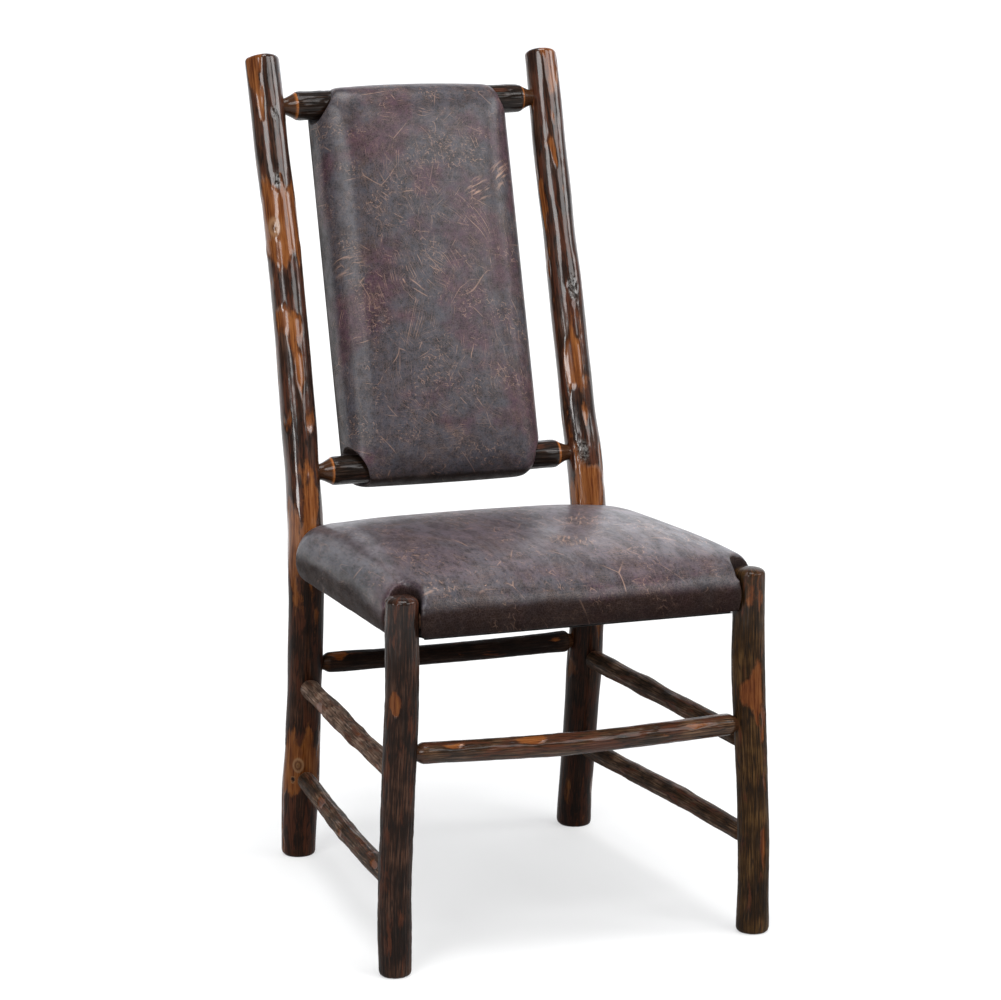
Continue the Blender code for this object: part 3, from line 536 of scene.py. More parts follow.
class Pillow:
    """A stuffed form: an outline, the levels of its base, sides and crown, and its rolls."""

    def __init__(self, outline, base, side, roll, crown, power, base_roll=0.008, tuck=0.0,
                 full=1.0):
        self.outline = outline
        self.base = base            # level of its flat underside
        self.side = side            # level where the sides start to roll over
        self.roll = roll            # width of that roll at the sides, low end, high end, and height
        self.crown = crown          # rise of the middle above the roll
        self.power = power          # how flat the crown is, sideways, to the low and the high end
        self.base_roll = base_roll
        self.tuck = tuck            # how far the sides draw in at the base
        self.full = full            # 1 for a round roll, less for one that ends without a line
        self.middle = (outline.min(axis=0) + outline.max(axis=0)) / 2.0
        self.half = np.ptp(outline, axis=0) / 2.0

    def ring(self, inset, share, level, crowned=False):
        """The outline drawn in by an inset, then by a share, at a level."""
        plan = self.outline - self.middle
        plan = plan * (1.0 - inset / self.half) * share
        sides, low_end, high_end = self.power
        ends = np.where(plan[:, 1] < 0.0, low_end, high_end)
        power = np.stack((np.full(len(ends), sides), ends), axis=1)
        flat = np.clip(1.0 - np.abs(plan / self.half) ** power, 0.0, 1.0)
        rise = self.crown * np.prod(flat, axis=1) if crowned else 0.0
        return np.c_[plan + self.middle, level + rise * np.ones(len(plan))]

    def rings(self):
        """Rings from the middle of the underside to the middle of the top."""
        drawn = self.tuck + self.base_roll
        made = [self.ring(drawn, share, self.base) for share in UNDER_SHARES]
        for angle in BASE_ANGLES:
            inset = self.tuck + self.base_roll * (1.0 - math.sin(angle))
            level = self.base + self.base_roll * (1.0 - math.cos(angle))
            made.append(self.ring(inset, 1.0, level))
        low = self.base + self.base_roll
        for rise in SIDE_RISES:
            made.append(self.ring(self.tuck * (1.0 - rise) ** 2, 1.0,
                                  low + (self.side - low) * rise))
        sides, low_end, high_end, high = self.roll
        ends = np.where(self.outline[:, 1] < self.middle[1], low_end, high_end)
        wide = np.stack((np.full(len(ends), sides), ends), axis=1)
        for angle in ROLL_ANGLES:
            made.append(self.ring(wide * (1.0 - math.cos(angle) ** self.full), 1.0,
                                  self.side + high * math.sin(angle) ** self.full, True))
        for share in TOP_SHARES:
            made.append(self.ring(wide, share, self.side + high, True))
        return made

    def build(self, name):
        made = self.rings()
        ends = [[*self.middle, self.base], [*self.middle, self.side + self.roll[3] + self.crown]]
        points = np.vstack(made + [np.array(ends)])
        return new_piece(name, points, tube_faces(len(made), len(self.outline)))


def place_piece(piece, matrix):
    piece.data.transform(matrix)
    piece.data.update()


def apply_modifiers(piece):
    """Give a piece the mesh that its modifiers make."""
    graph = bpy.context.evaluated_depsgraph_get()
    made = bpy.data.meshes.new_from_object(piece.evaluated_get(graph))
    old = piece.data
    piece.modifiers.clear()
    piece.data = made
    made.name = piece.name
    bpy.data.meshes.remove(old)
    made.shade_smooth()


def modify(piece, kind, **settings):
    made = piece.modifiers.new(kind, kind)
    for name, value in settings.items():
        setattr(made, name, value)


def cut_away(piece, cutters):
    for cutter in cutters:
        modify(piece, "BOOLEAN", operation="DIFFERENCE", solver="EXACT", object=cutter)
    apply_modifiers(piece)
    for cutter in cutters:
        bpy.data.objects.remove(cutter, do_unlink=True)


def remesh(piece, voxel, rounds):
    """Even faces over a form, with its edges softened in so many rounds."""
    modify(piece, "REMESH", mode="VOXEL", voxel_size=voxel)
    relax(piece, rounds)


def relax(piece, rounds):
    modify(piece, "SMOOTH", factor=0.5, iterations=rounds)
    apply_modifiers(piece)


def subdivide(piece):
    modify(piece, "SUBSURF", levels=1, render_levels=1)
    apply_modifiers(piece)


SWELL_FRAMES = 20
SWELL_PRESSURE = 4.0
EVEN_ROUNDS = 40              # how often the swell is shared out among neighbours
TAUT_ROUNDS = 5               # smoothing that draws the swollen leather taut


def even_out(piece, shift, held):
    """Share a swell out over a mesh, so that it leaves no folds."""
    edges = np.empty(len(piece.data.edges) * 2, dtype=np.int32)
    piece.data.edges.foreach_get("vertices", edges)
    edges = edges.reshape(-1, 2)
    here, there = np.concatenate((edges, edges[:, ::-1])).T
    count = np.bincount(here, minlength=len(shift))[:, None]
    for _ in range(EVEN_ROUNDS):
        near = np.stack([np.bincount(here, column[there], len(shift)) for column in shift.T], axis=1)
        shift = (shift + near / count) / 2.0
        shift[held] = 0.0
    return shift


def inflate(piece, held, cap):
    """Let the stuffing swell a form by at most cap, with the held points pinned."""
    rest = coordinates(piece)
    group = piece.vertex_groups.new(name="held")
    group.add(np.flatnonzero(held).tolist(), 1.0, "REPLACE")
    cloth = piece.modifiers.new("swell", "CLOTH")
    cloth.settings.use_pressure = True
    cloth.settings.uniform_pressure_force = SWELL_PRESSURE
    cloth.settings.effector_weights.gravity = 0.0
    cloth.settings.vertex_group_mass = group.name
    cloth.point_cache.frame_start = 1
    cloth.point_cache.frame_end = SWELL_FRAMES
    scene = bpy.context.scene
    for number in range(1, SWELL_FRAMES + 1):
        scene.frame_set(number)
    graph = bpy.context.evaluated_depsgraph_get()
    swollen = piece.evaluated_get(graph).to_mesh()
    moved = np.array([vert.co for vert in swollen.vertices])
    piece.modifiers.remove(cloth)
    piece.vertex_groups.remove(group)
    scene.frame_set(1)
    shift = moved - rest
    far = np.linalg.norm(shift, axis=1)
    shift *= (cap * np.tanh(far / cap) / np.maximum(far, 1e-9))[:, None]
    set_coordinates(piece, rest + even_out(piece, shift, held))
    relax(piece, TAUT_ROUNDS)


def tube_piece(name, points, radii, sides=40):
    """A plain upright tube, for cutting."""
    turn = np.arange(sides) * math.tau / sides
    rings = [np.c_[x + r * np.cos(turn), y + r * np.sin(turn), np.full(sides, z)]
             for (x, y, z), r in zip(points, radii)]
    ends = [[points[0]], [points[-1]]]
    return new_piece(name, np.vstack(rings + ends), tube_faces(len(rings), sides))


def box_piece(name, low, high):
    mesh = bpy.data.meshes.new(name)
    bm = bmesh.new()
    size = Vector(high) - Vector(low)
    middle = (Vector(high) + Vector(low)) / 2.0
    place = Matrix.Translation(middle) @ Matrix.Diagonal((*size, 1.0))
    bmesh.ops.create_cube(bm, size=1.0, matrix=place)
    bm.to_mesh(mesh)
    bm.free()
    return add_object(name, mesh)


# Seat

SEAT_STEP = 0.006
SEAT_REAR_ROUND = 0.085       # plan radius of the rear corners
SEAT_FRONT_ROUND = 0.024
SEAT_ROLL = (0.028, 0.036, 0.036, 0.040)   # roll at the sides, front and rear, and its height
SEAT_CROWN = 0.0265
SEAT_POWER = (6.5, 4.0, 2.4)  # how flat the crown is, sideways, to the front and to the rear
SEAT_VOXEL = 0.0045
SEAT_SOFT_ROUNDS = 7
SEAT_CLEAR = 0.0028           # leather to bark, round a post
SEAT_FRONT_END = 0.0165       # end of the front face, from a front post's axis
SEAT_SIDE_END = 0.036         # end of a side, from a rear post's axis
SEAT_END = 0.12               # its widths are measured this near its front and its rear
SEAT_TUCK = 0.004             # how far its sides draw in at the bottom
SEAT_HELD = 0.020             # height of the band at the bottom that is tacked down
SEAT_HELD_ROUND = 0.006       # width of such a band round a post
CUT_REACH = 0.05              # what cuts the seat goes this far past it
CUT_RINGS = 8
CUT_WIDTHS = 4.0              # reach of a cut corner, in radii of its post
SEAT_SWELL = 0.004


def axes_frame(origin, across, along):
    across = across.normalized()
    along = along.normalized()
    turn = Matrix((across, along, across.cross(along))).transposed().to_4x4()
    return Matrix.Translation(origin) @ turn


def middle_of(name):
    start, end = rung_ends(name)
    return (start + end) / 2.0


def seat_frame():
    """The seat's frame, from the middle of the front rail: X right, Y to the rear, Z up."""
    front = middle_of("seat_front_rail")
    return axes_frame(front, RIGHT, middle_of("seat_rear_rail") - front)


def local_points(name, matrix):
    inverse = np.array(matrix.inverted())
    return node_points(name) @ inverse[:3, :3].T + inverse[:3, 3]


def extent(name, matrix):
    """The least and the most of a node's coordinates in a frame."""
    points = local_points(name, matrix)
    return points.min(axis=0), points.max(axis=0)


def seat_cutters(posts):
    """Room for the four posts, and the corners that the leather leaves open."""
    low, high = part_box("seat_cover")
    span = np.linspace(low.z - CUT_REACH, high.z + CUT_REACH, CUT_RINGS)
    cutters = []
    for name, post in posts.items():
        rings = [post.at_height(height) for height in span]
        points = [(ring.x, ring.y, height) for (ring, _), height in zip(rings, span)]
        radii = [size + SEAT_CLEAR for _, size in rings]
        cutters.append(tube_piece(f"room_{name}", points, radii))
        axis, size = post.at_height((low.z + high.z) / 2.0)
        side = math.copysign(1.0, axis.x)
        far = axis.x + side * CUT_WIDTHS * size
        if name.startswith("front"):
            near = axis.x - side * SEAT_FRONT_END
            ends = (axis.y - CUT_WIDTHS * size, axis.y)
        else:
            near = axis.x - side * size / 2.0
            ends = (axis.y - SEAT_SIDE_END, axis.y + CUT_WIDTHS * size)
        cutters.append(box_piece(f"corner_{name}", (min(near, far), ends[0], span[0]),
                                 (max(near, far), ends[1], span[-1])))
    return cutters


def make_seat(posts, leather):
    matrix = seat_frame()
    points = local_points("seat_cover", matrix)
    low, high = extent("seat_cover", matrix)
    front_half = np.abs(points[points[:, 1] < low[1] + SEAT_END, 0]).max()
    rear_half = np.abs(points[points[:, 1] > high[1] - SEAT_END, 0]).max()
    corners = ((-front_half, low[1]), (front_half, low[1]), (rear_half, high[1]),
               (-rear_half, high[1]))
    radii = (SEAT_FRONT_ROUND, SEAT_FRONT_ROUND, SEAT_REAR_ROUND, SEAT_REAR_ROUND)
    outline = round_corners(corners, radii, SEAT_STEP)
    side = high[2] - SEAT_CROWN - SEAT_ROLL[3] - SEAT_SWELL / 2.0
    form = Pillow(outline, low[2], side, SEAT_ROLL, SEAT_CROWN, SEAT_POWER, tuck=SEAT_TUCK)
    seat = form.build("seat_cushion")
    place_piece(seat, matrix)
    cut_away(seat, seat_cutters(posts))
    remesh(seat, SEAT_VOXEL, SEAT_SOFT_ROUNDS)
    here = coordinates(seat)
    inverse = np.array(matrix.inverted())
    held = (here @ inverse[:3, :3].T)[:, 2] + inverse[2, 3] < low[2] + SEAT_HELD
    for post in posts.values():
        axis, size = post.at_height((low[2] + high[2]) / 2.0 + matrix.translation.z)
        gap = np.hypot(*(here[:, :2] - np.array(axis.xy)).T)
        held |= gap < size + SEAT_CLEAR + SEAT_HELD_ROUND
    inflate(seat, held, SEAT_SWELL)
    subdivide(seat)
    seat.data.materials.append(leather)
    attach(seat, "root")
    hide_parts("seat_cover", "seat_foam")


# Back panel

PANEL_STEP = 0.005
PANEL_ROUND = 0.031           # radius of its corners, seen from the front
PANEL_ROLL = (0.052, 0.042, 0.030, 0.033)  # roll at the sides, bottom and top, and its depth
PANEL_FULL = 0.80             # below 1, the roll runs into the front without a line
PANEL_POWER = (2.6, 3.4, 3.4)  # how flat the crown is, sideways, downwards and upwards
PANEL_TUCK = 0.002
PANEL_HELD = 0.016            # depth of the band at the rear that is tacked down
PANEL_GROW = 0.0045           # softening takes this off the sides
PANEL_PUFF = 0.004            # and this off the front
PANEL_CROWN = 0.011
PANEL_BOW = 0.004             # rise of the top edge between its corners
PANEL_VOXEL = 0.0042
PANEL_SOFT_ROUNDS = 8
PANEL_SWELL = 0.003
# Draw of the leather round the top rail and round the lower one, on the left and on the right
SCOOP = ((0.012, 0.016), (0.004, 0.005))
SCOOP_NEAR = 0.0205           # the draw is full this near a rail's axis
SCOOP_FAR = 0.028             # and ends here
SCOOP_WIDE = 0.040            # how far it reaches in from the side
SCOOP_EDGE = 0.006            # it is full this near the side


def panel_frame():
    """The panel's frame, from the middle of the lower rail: X right, Y up along it, Z forward."""
    lower = middle_of("lower_back_rail")
    upward = middle_of("top_back_rail") - lower
    return axes_frame(lower, RIGHT, upward), upward.length


def scoop_sides(points, half, levels):
    """Draw the leather in where the two rails leave it."""
    for level, draws in zip(levels, zip(*SCOOP)):
        depth = np.where(points[:, 0] < 0.0, *draws)
        gap = np.hypot(points[:, 1] - level, points[:, 2])
        near = 1.0 - step_up(gap, SCOOP_NEAR, SCOOP_FAR)
        out = step_up(np.abs(points[:, 0]), half - SCOOP_WIDE, half - SCOOP_EDGE)
        points[:, 0] -= np.sign(points[:, 0]) * depth * near * out
    return points


def box_corners(low, high):
    return ((low[0], low[1]), (high[0], low[1]), (high[0], high[1]), (low[0], high[1]))


def make_panel(leather):
    matrix, height = panel_frame()
    low, high = extent("back_cover", matrix)
    low[0] -= PANEL_GROW
    high[0] += PANEL_GROW
    high[2] += PANEL_PUFF
    outline = round_corners(box_corners(low, high), (PANEL_ROUND,) * 4, PANEL_STEP)
    bowed = np.clip(1.0 - (outline[:, 0] / high[0]) ** 2, 0.0, 1.0)
    outline[:, 1] += PANEL_BOW * bowed * (outline[:, 1] > height / 2.0)
    side = high[2] - PANEL_CROWN - PANEL_ROLL[3] - PANEL_SWELL / 2.0
    form = Pillow(outline, low[2], side, PANEL_ROLL, PANEL_CROWN, PANEL_POWER, tuck=PANEL_TUCK,
                  full=PANEL_FULL)
    panel = form.build("back_cushion")
    remesh(panel, PANEL_VOXEL, PANEL_SOFT_ROUNDS)
    held = coordinates(panel)[:, 2] < low[2] + PANEL_HELD
    inflate(panel, held, PANEL_SWELL)
    subdivide(panel)
    set_coordinates(panel, scoop_sides(coordinates(panel), high[0], (height, 0.0)))
    place_piece(panel, matrix)
    panel.data.materials.append(leather)
    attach(panel, "root")
    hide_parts("back_cover", "back_foam")


OUTSIDE_ROLL = (0.003, 0.003, 0.003, 0.0025)
OUTSIDE_CROWN = 0.0015
OUTSIDE_POWER = (3.0, 3.0, 3.0)
OUTSIDE_EDGE = 0.001          # height of its edge, half of it rounded


def make_outside_panel(leather):
    """The leather that closes the rear of the back, with a turned edge."""
    matrix = panel_frame()[0]
    low, high = extent("outside_back_panel", matrix)
    outline = round_corners(box_corners(low, high), (PANEL_ROUND,) * 4, PANEL_STEP)
    form = Pillow(outline, -high[2], -high[2] + OUTSIDE_EDGE, OUTSIDE_ROLL, OUTSIDE_CROWN,
                  OUTSIDE_POWER, base_roll=OUTSIDE_EDGE / 2.0)
    piece = form.build("outside_back_leather")
    place_piece(piece, matrix @ Matrix.Diagonal((1.0, 1.0, -1.0, 1.0)))
    face_out(piece.data)
    piece.data.materials.append(leather)
    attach(piece, "root")
    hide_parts("outside_back_panel")


# Dust cover

DUST_STEP = 0.006
DUST_SAG = 0.004
DUST_WRINKLE = 0.0006
DUST_THICK = 0.0006
DUST_FOLDS = (0.015, 0.060, 1.0)   # size of its wrinkles
DUST_SEED = 71
DUST_WELD = 0.00005           # points nearer than this become one


def make_dust_cover(cloth):
    """Black cloth under the seat: its CAD outline in fine faces, sagging a little."""
    matrix = seat_frame()
    low, high = extent("seat_dust_cover", matrix)
    sheet = add_object("dust_cover_cloth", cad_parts["seat_dust_cover"].data.copy())
    place_piece(sheet, matrix.inverted())
    bm = bmesh.new()
    bm.from_mesh(sheet.data)
    under = [face for face in bm.faces if face.normal.z > -0.5]
    bmesh.ops.delete(bm, geom=under, context="FACES")
    for axis, normal in ((0, (1, 0, 0)), (1, (0, 1, 0))):
        for place in np.arange(low[axis] + DUST_STEP, high[axis], DUST_STEP):
            spot_on = [0.0, 0.0, 0.0]
            spot_on[axis] = place
            whole = bm.verts[:] + bm.edges[:] + bm.faces[:]
            bmesh.ops.bisect_plane(bm, geom=whole, plane_co=spot_on, plane_no=normal)
    bmesh.ops.remove_doubles(bm, verts=bm.verts, dist=DUST_WELD)
    bm.to_mesh(sheet.data)
    bm.free()
    here = coordinates(sheet)
    share = (here[:, :2] - low[:2]) / (high[:2] - low[:2])
    sag = np.prod(np.clip(4.0 * share * (1.0 - share), 0.0, 1.0), axis=1)
    here[:, 2] -= DUST_SAG * sag
    here[:, 2] += DUST_WRINKLE * noise(here, DUST_FOLDS, DUST_SEED) * np.sqrt(sag)
    set_coordinates(sheet, here)
    modify(sheet, "SOLIDIFY", thickness=DUST_THICK, offset=1.0)
    apply_modifiers(sheet)
    place_piece(sheet, matrix)
    sheet.data.materials.clear()
    sheet.data.materials.append(cloth)
    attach(sheet, "root")
    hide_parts("seat_dust_cover")


# Materials

class Nodes:
    """A node tree whose nodes are made and linked by short calls."""

    def __init__(self, tree):
        self.tree = tree

    def feed(self, socket, value):
        if isinstance(value, bpy.types.NodeSocket):
            self.tree.links.new(value, socket)
        elif socket.type == "RGBA" and len(value) == 3:
            socket.default_value = (*value, 1.0)
        else:
            socket.default_value = value

    def node(self, kind, inputs, **settings):
        node = self.tree.nodes.new(kind)
        for name, value in settings.items():
            setattr(node, name, value)
        for name, value in inputs.items():
            self.feed(node.inputs[name], value)
        return node

    def field(self, name, output="Fac"):
        return self.node("ShaderNodeAttribute", {}, attribute_name=name).outputs[output]

    def place(self, output="Object"):
        return self.node("ShaderNodeTexCoord", {}).outputs[output]

    def math(self, operation, first, second):
        return self.node("ShaderNodeMath", {0: first, 1: second}, operation=operation).outputs[0]

    def times(self, first, second):
        return self.math("MULTIPLY", first, second)

    def plus(self, first, second):
        return self.math("ADD", first, second)

    def swing(self, value, share):
        """Noise from 0 to 1 as a share that swings round 0."""
        return self.times(self.math("SUBTRACT", value, 0.5), share)

    def most(self, first, *others):
        for other in others:
            first = self.math("MAXIMUM", first, other)
        return first

    def vector(self, operation, first, second, output="Vector"):
        node = self.node("ShaderNodeVectorMath", {0: first, 1: second}, operation=operation)
        return node.outputs[output]

    def scaled(self, vector, *factors):
        return self.vector("MULTIPLY", vector, factors)

    def dot(self, first, second):
        return self.vector("DOT_PRODUCT", first, second, "Value")

    def noise(self, vector, scale, detail=4.0, roughness=0.55, output="Fac"):
        inputs = {"Vector": vector, "Scale": scale, "Detail": detail, "Roughness": roughness}
        return self.node("ShaderNodeTexNoise", inputs).outputs[output]

    def line_noise(self, value, scale, detail=2.0):
        inputs = {"W": value, "Scale": scale, "Detail": detail}
        return self.node("ShaderNodeTexNoise", inputs, noise_dimensions="1D").outputs["Fac"]

    def cells(self, vector, scale, feature="F1", output="Distance", dimensions="3D"):
        node = self.node("ShaderNodeTexVoronoi", {"Vector": vector, "Scale": scale}, feature=feature,
                         voronoi_dimensions=dimensions)
        return node.outputs[output]

    def between(self, value, low, high, start=0.0, end=1.0):
        """A smooth step of a value from start to end."""
        inputs = {"Value": value, "From Min": low, "From Max": high, "To Min": start,
                  "To Max": end}
        node = self.node("ShaderNodeMapRange", inputs, interpolation_type="SMOOTHSTEP")
        return node.outputs["Result"]

    def ramp(self, value, stops, ease="LINEAR"):
        node = self.node("ShaderNodeValToRGB", {"Fac": value})
        node.color_ramp.interpolation = ease
        marks = node.color_ramp.elements
        while len(marks) < len(stops):
            marks.new(0.5)
        for mark, (place, colour) in zip(marks, stops):
            mark.position = place
            mark.color = (*colour, 1.0)
        return node.outputs["Color"]

    def mix(self, share, first, second):
        node = self.node("ShaderNodeMix", {0: share, 6: first, 7: second}, data_type="RGBA")
        return node.outputs[2]


class Shader(Nodes):
    """A material and the nodes of its surface."""

    def __init__(self, name):
        self.material = bpy.data.materials.new(name)
        self.material.use_nodes = True
        super().__init__(self.material.node_tree)
        self.surface = self.tree.nodes["Principled BSDF"]

    def set(self, **values):
        """Inputs of the surface, named with underscores for spaces."""
        for name, value in values.items():
            title = name.replace("_", " ").title().replace("Ior", "IOR")
            self.feed(self.surface.inputs[title], value)

    def bump(self, height, distance, strength=1.0):
        inputs = {"Height": height, "Distance": distance, "Strength": strength}
        self.set(normal=self.node("ShaderNodeBump", inputs).outputs["Normal"])


BARE_WOOD = ((0.062, 0.015, 0.005), (0.185, 0.058, 0.014), (0.31, 0.120, 0.036))
DARK_WOOD = ((0.046, 0.011, 0.004), (0.125, 0.036, 0.009), (0.215, 0.078, 0.022))
KNOT_RINGS = ((0.0, (0.12, 0.042, 0.013)), (0.34, (0.30, 0.155, 0.075)), (0.55, (0.10, 0.036, 0.013)),
              (0.70, (0.22, 0.105, 0.045)), (0.9, (0.02, 0.008, 0.005)))
SCAR_GREY = ((0.008, 0.007, 0.006), (0.17, 0.16, 0.15))
SHAVED = ((0.030, 0.013, 0.007), (0.075, 0.030, 0.012))
RED_BARK = (0.085, 0.026, 0.012)
FURROW = (0.006, 0.004, 0.003)
SHOULDER_RING = (0.30, 0.10, 0.025)
BLACK = (0.0, 0.0, 0.0)


def bark_material(name, bark, wood_tones, streak, finish, ring_share=0.0, shade_and_lacquer_below=None):
    """Lacquered bark with bare patches. Bark is three tones, streak the share of red-brown.

    Finish is the roughness of the bark and of the bare wood, the least and the most lacquer,
    and the strength of the fine relief. Ring_share is how clear the bright rings at a rung's
    shoulders are. The last is for a post: the heights between which it changes, and the shares of
    its tone and its lacquer that are left below them; the tone taken off there is painted shade.
    """
    bark_rough, wood_rough, least_coat, most_coat, relief = finish
    shader = Shader(name)
    place = shader.field("pole", "Vector")
    fibre = shader.noise(shader.scaled(place, 1.0, 1.0, 0.040), 520.0, 5.0, 0.62)
    blotch = shader.noise(shader.scaled(place, 1.0, 1.0, 0.22), 95.0, 5.0, 0.6)
    cloud = shader.noise(place, 22.0, 3.0)
    furrow = shader.cells(shader.scaled(place, 1.0, 1.0, 0.045), 300.0, "DISTANCE_TO_EDGE")
    lobes = shader.noise(shader.scaled(place, 1.0, 1.0, 0.5), 150.0, 5.0, 0.65)
    ragged = shader.plus(shader.times(fibre, 0.30), shader.times(lobes, 1.3))
    ragged = shader.math("SUBTRACT", ragged, 0.8)
    mask = shader.between(shader.plus(shader.field("bare"), ragged), -0.26, 0.20)
    tone = shader.plus(shader.times(fibre, 0.55), shader.times(cloud, 0.45))
    skin = shader.ramp(tone, tuple(zip((0.36, 0.50, 0.64), bark)))
    red = shader.between(blotch, 0.62 - 0.2 * streak, 0.74 - 0.2 * streak, 0.0, 0.75)
    skin = shader.mix(red, skin, RED_BARK)
    skin = shader.mix(shader.between(furrow, 0.0, 0.10, 0.75, 0.0), skin, FURROW)
    grain = shader.plus(shader.times(fibre, 0.6), shader.times(blotch, 0.4))
    wood = shader.ramp(grain, tuple(zip((0.38, 0.50, 0.66), wood_tones)))
    colour = shader.mix(mask, skin, wood)
    flake = shader.ramp(shader.noise(place, 330.0, 3.0), tuple(zip((0.42, 0.62), SCAR_GREY)))
    scar = shader.between(shader.field("scar"), 0.25, 0.6, 0.0, 0.8)
    colour = shader.mix(scar, colour, flake)
    knot = shader.plus(shader.field("knot"), shader.swing(fibre, 0.25))
    colour = shader.mix(shader.between(knot, 0.12, 0.3), colour, shader.ramp(knot, KNOT_RINGS))
    shaved = shader.field("shaved")
    colour = shader.mix(shaved, colour, shader.ramp(fibre, tuple(zip((0.35, 0.65), SHAVED))))
    ring = shader.times(shader.between(shaved, 0.02, 0.3), shader.between(shaved, 0.98, 0.6))
    colour = shader.mix(shader.times(ring, ring_share), colour, SHOULDER_RING)
    plain = shader.most(mask, shaved)
    rough = shader.between(plain, 0.0, 1.0, bark_rough, wood_rough)
    rough = shader.plus(rough, shader.swing(fibre, 0.22))
    height = shader.plus(fibre, shader.times(furrow, 1.2))
    height = shader.times(height, shader.between(plain, 0.0, 1.0, 1.0, 0.12))
    shader.bump(height, 0.0009, relief)
    coat = shader.between(fibre, 0.55, 0.68, least_coat, most_coat)
    if shade_and_lacquer_below:
        low, high, tone_below, coat_below = shade_and_lacquer_below
        level = shader.node("ShaderNodeSeparateXYZ", {0: place}).outputs["Z"]
        level = shader.plus(level, shader.swing(blotch, 0.16))
        # Painted shade: below these heights the post is darkened towards black; its lacquer thins there
        # too.
        painted_shade_below = shader.between(level, low, high, 1.0 - tone_below, 0.0)
        colour = shader.mix(painted_shade_below, colour, BLACK)
        coat = shader.times(coat, shader.between(level, low, high, coat_below, 1.0))
    shader.set(base_color=colour, roughness=rough, specular_ior_level=0.05,
               coat_weight=coat, coat_roughness=0.13)
    return shader.material


SLATE = (0.055, 0.054, 0.066)
PLUM = (0.066, 0.030, 0.045)
DEEP = (0.016, 0.013, 0.014)
PAINTED_SHADE_BROWN = (0.012, 0.0055, 0.004)    # painted shade: dark brown where the leather turns away from the light
PAINTED_SHEEN = (0.125, 0.108, 0.120)    # painted light: paler where the leather faces the light, a painted sheen
CRACKED = (0.17, 0.125, 0.115)
TAN = (0.36, 0.22, 0.16)
COAT_TINT = (0.93, 0.96, 1.0)
UNROLL_LEAN = 0.5                 # how far unrolled coordinates run on round an edge
MID_GREY = (0.5, 0.5, 0.5)        # the mean of a noise's colours
# Size of a group's cell, lines in a metre, where groups start, seed
SCRATCHES = ((0.036, 330.0, 0.40, 1.0), (0.022, 460.0, 0.40, 2.0), (0.075, 260.0, 0.40, 3.0),
             (0.050, 380.0, 0.42, 4.0), (0.014, 700.0, 0.38, 5.0), (0.028, 560.0, 0.38, 6.0))
# Middle of a scuff, its size and the way that its strokes run
PANEL_SCUFFS = (((-0.1258, 0.2094, 0.8186), 0.034, (0.94, 0.0, -0.33)),
                ((0.1164, 0.2393, 0.9252), 0.032, (0.55, 0.0, 0.83)),
                ((0.0723, 0.2313, 0.9068), 0.026, (0.78, 0.0, 0.62)))
SEAT_SCUFFS = (((0.0301, -0.2344, 0.504), 0.040, (0.39, 0.92, 0.0)),
               ((0.0900, -0.1200, 0.508), 0.050, (0.39, 0.92, 0.0)))


def scratch_layer(shader, place, normal, cell, fine, cluster, seed):
    """Groups of nearly parallel fine scratches, each group with a direction of its own."""
    moved = shader.vector("ADD", place, (seed * 0.37, seed * 0.61, seed * 0.23))
    colour = shader.cells(moved, 1.0 / cell, "F1", "Color")
    way = shader.vector("SUBTRACT", colour, MID_GREY)
    way = shader.vector("SUBTRACT", way, shader.vector("PROJECT", way, normal))
    way = shader.vector("NORMALIZE", way, (0.0, 0.0, 0.0))
    run = shader.dot(moved, way)
    lines = shader.between(shader.line_noise(run, fine), 0.60, 0.74)
    broken = shader.between(shader.noise(moved, 2.0 / cell, 3.0), 0.44, 0.66)
    groups = shader.between(shader.noise(moved, 12.0, 4.0), cluster, cluster + 0.22)
    return shader.times(lines, shader.times(broken, groups))


def unroll(shader, place, face):
    """Flat coordinates over a worn side, that lean so that they run on round its edges."""
    depth = Vector(face).normalized() * UNROLL_LEAN
    ways = {"X": RIGHT + depth, "Y": Vector(face).cross(RIGHT).normalized() + depth}
    runs = {axis: shader.dot(place, tuple(way)) for axis, way in ways.items()}
    return shader.node("ShaderNodeCombineXYZ", runs).outputs[0]


def arc_layer(shader, place):
    """A few long bent scratches."""
    bends = shader.noise(place, 6.0, 1.0, 0.5, "Color")
    warped = shader.vector("ADD", place, shader.scaled(bends, 0.12, 0.12, 0.12))
    edge = shader.cells(warped, 15.0, "DISTANCE_TO_EDGE", dimensions="2D")
    lines = shader.between(edge, 0.003, 0.014, 0.7, 0.0)
    return shader.times(lines, shader.between(shader.noise(place, 30.0, 3.0), 0.50, 0.64))


def scuff_layer(shader, place, face, centre, size, way):
    """A rubbed spot, in short strokes."""
    far = shader.vector("DISTANCE", place, centre, "Value")
    across = Vector(way).cross(Vector(face)).normalized()
    run = {"X": shader.dot(place, tuple(across * 330.0)),
           "Y": shader.dot(place, tuple(Vector(way) * 45.0))}
    strokes = shader.noise(shader.node("ShaderNodeCombineXYZ", run).outputs[0], 1.0, 2.0)
    near = shader.between(far, 0.2 * size, size, 1.0, 0.0)
    return shader.times(near, shader.between(strokes, 0.50, 0.66))


def craze_layer(shader, place):
    """Patches of fine crazing."""
    edge = shader.cells(place, 210.0, "DISTANCE_TO_EDGE", dimensions="2D")
    patches = shader.between(shader.noise(place, 17.0, 4.0), 0.48, 0.62)
    broken = shader.between(shader.noise(place, 170.0, 2.0), 0.50, 0.60)
    return shader.times(shader.between(edge, 0.0, 0.16, 0.75, 0.0), shader.times(patches, broken))


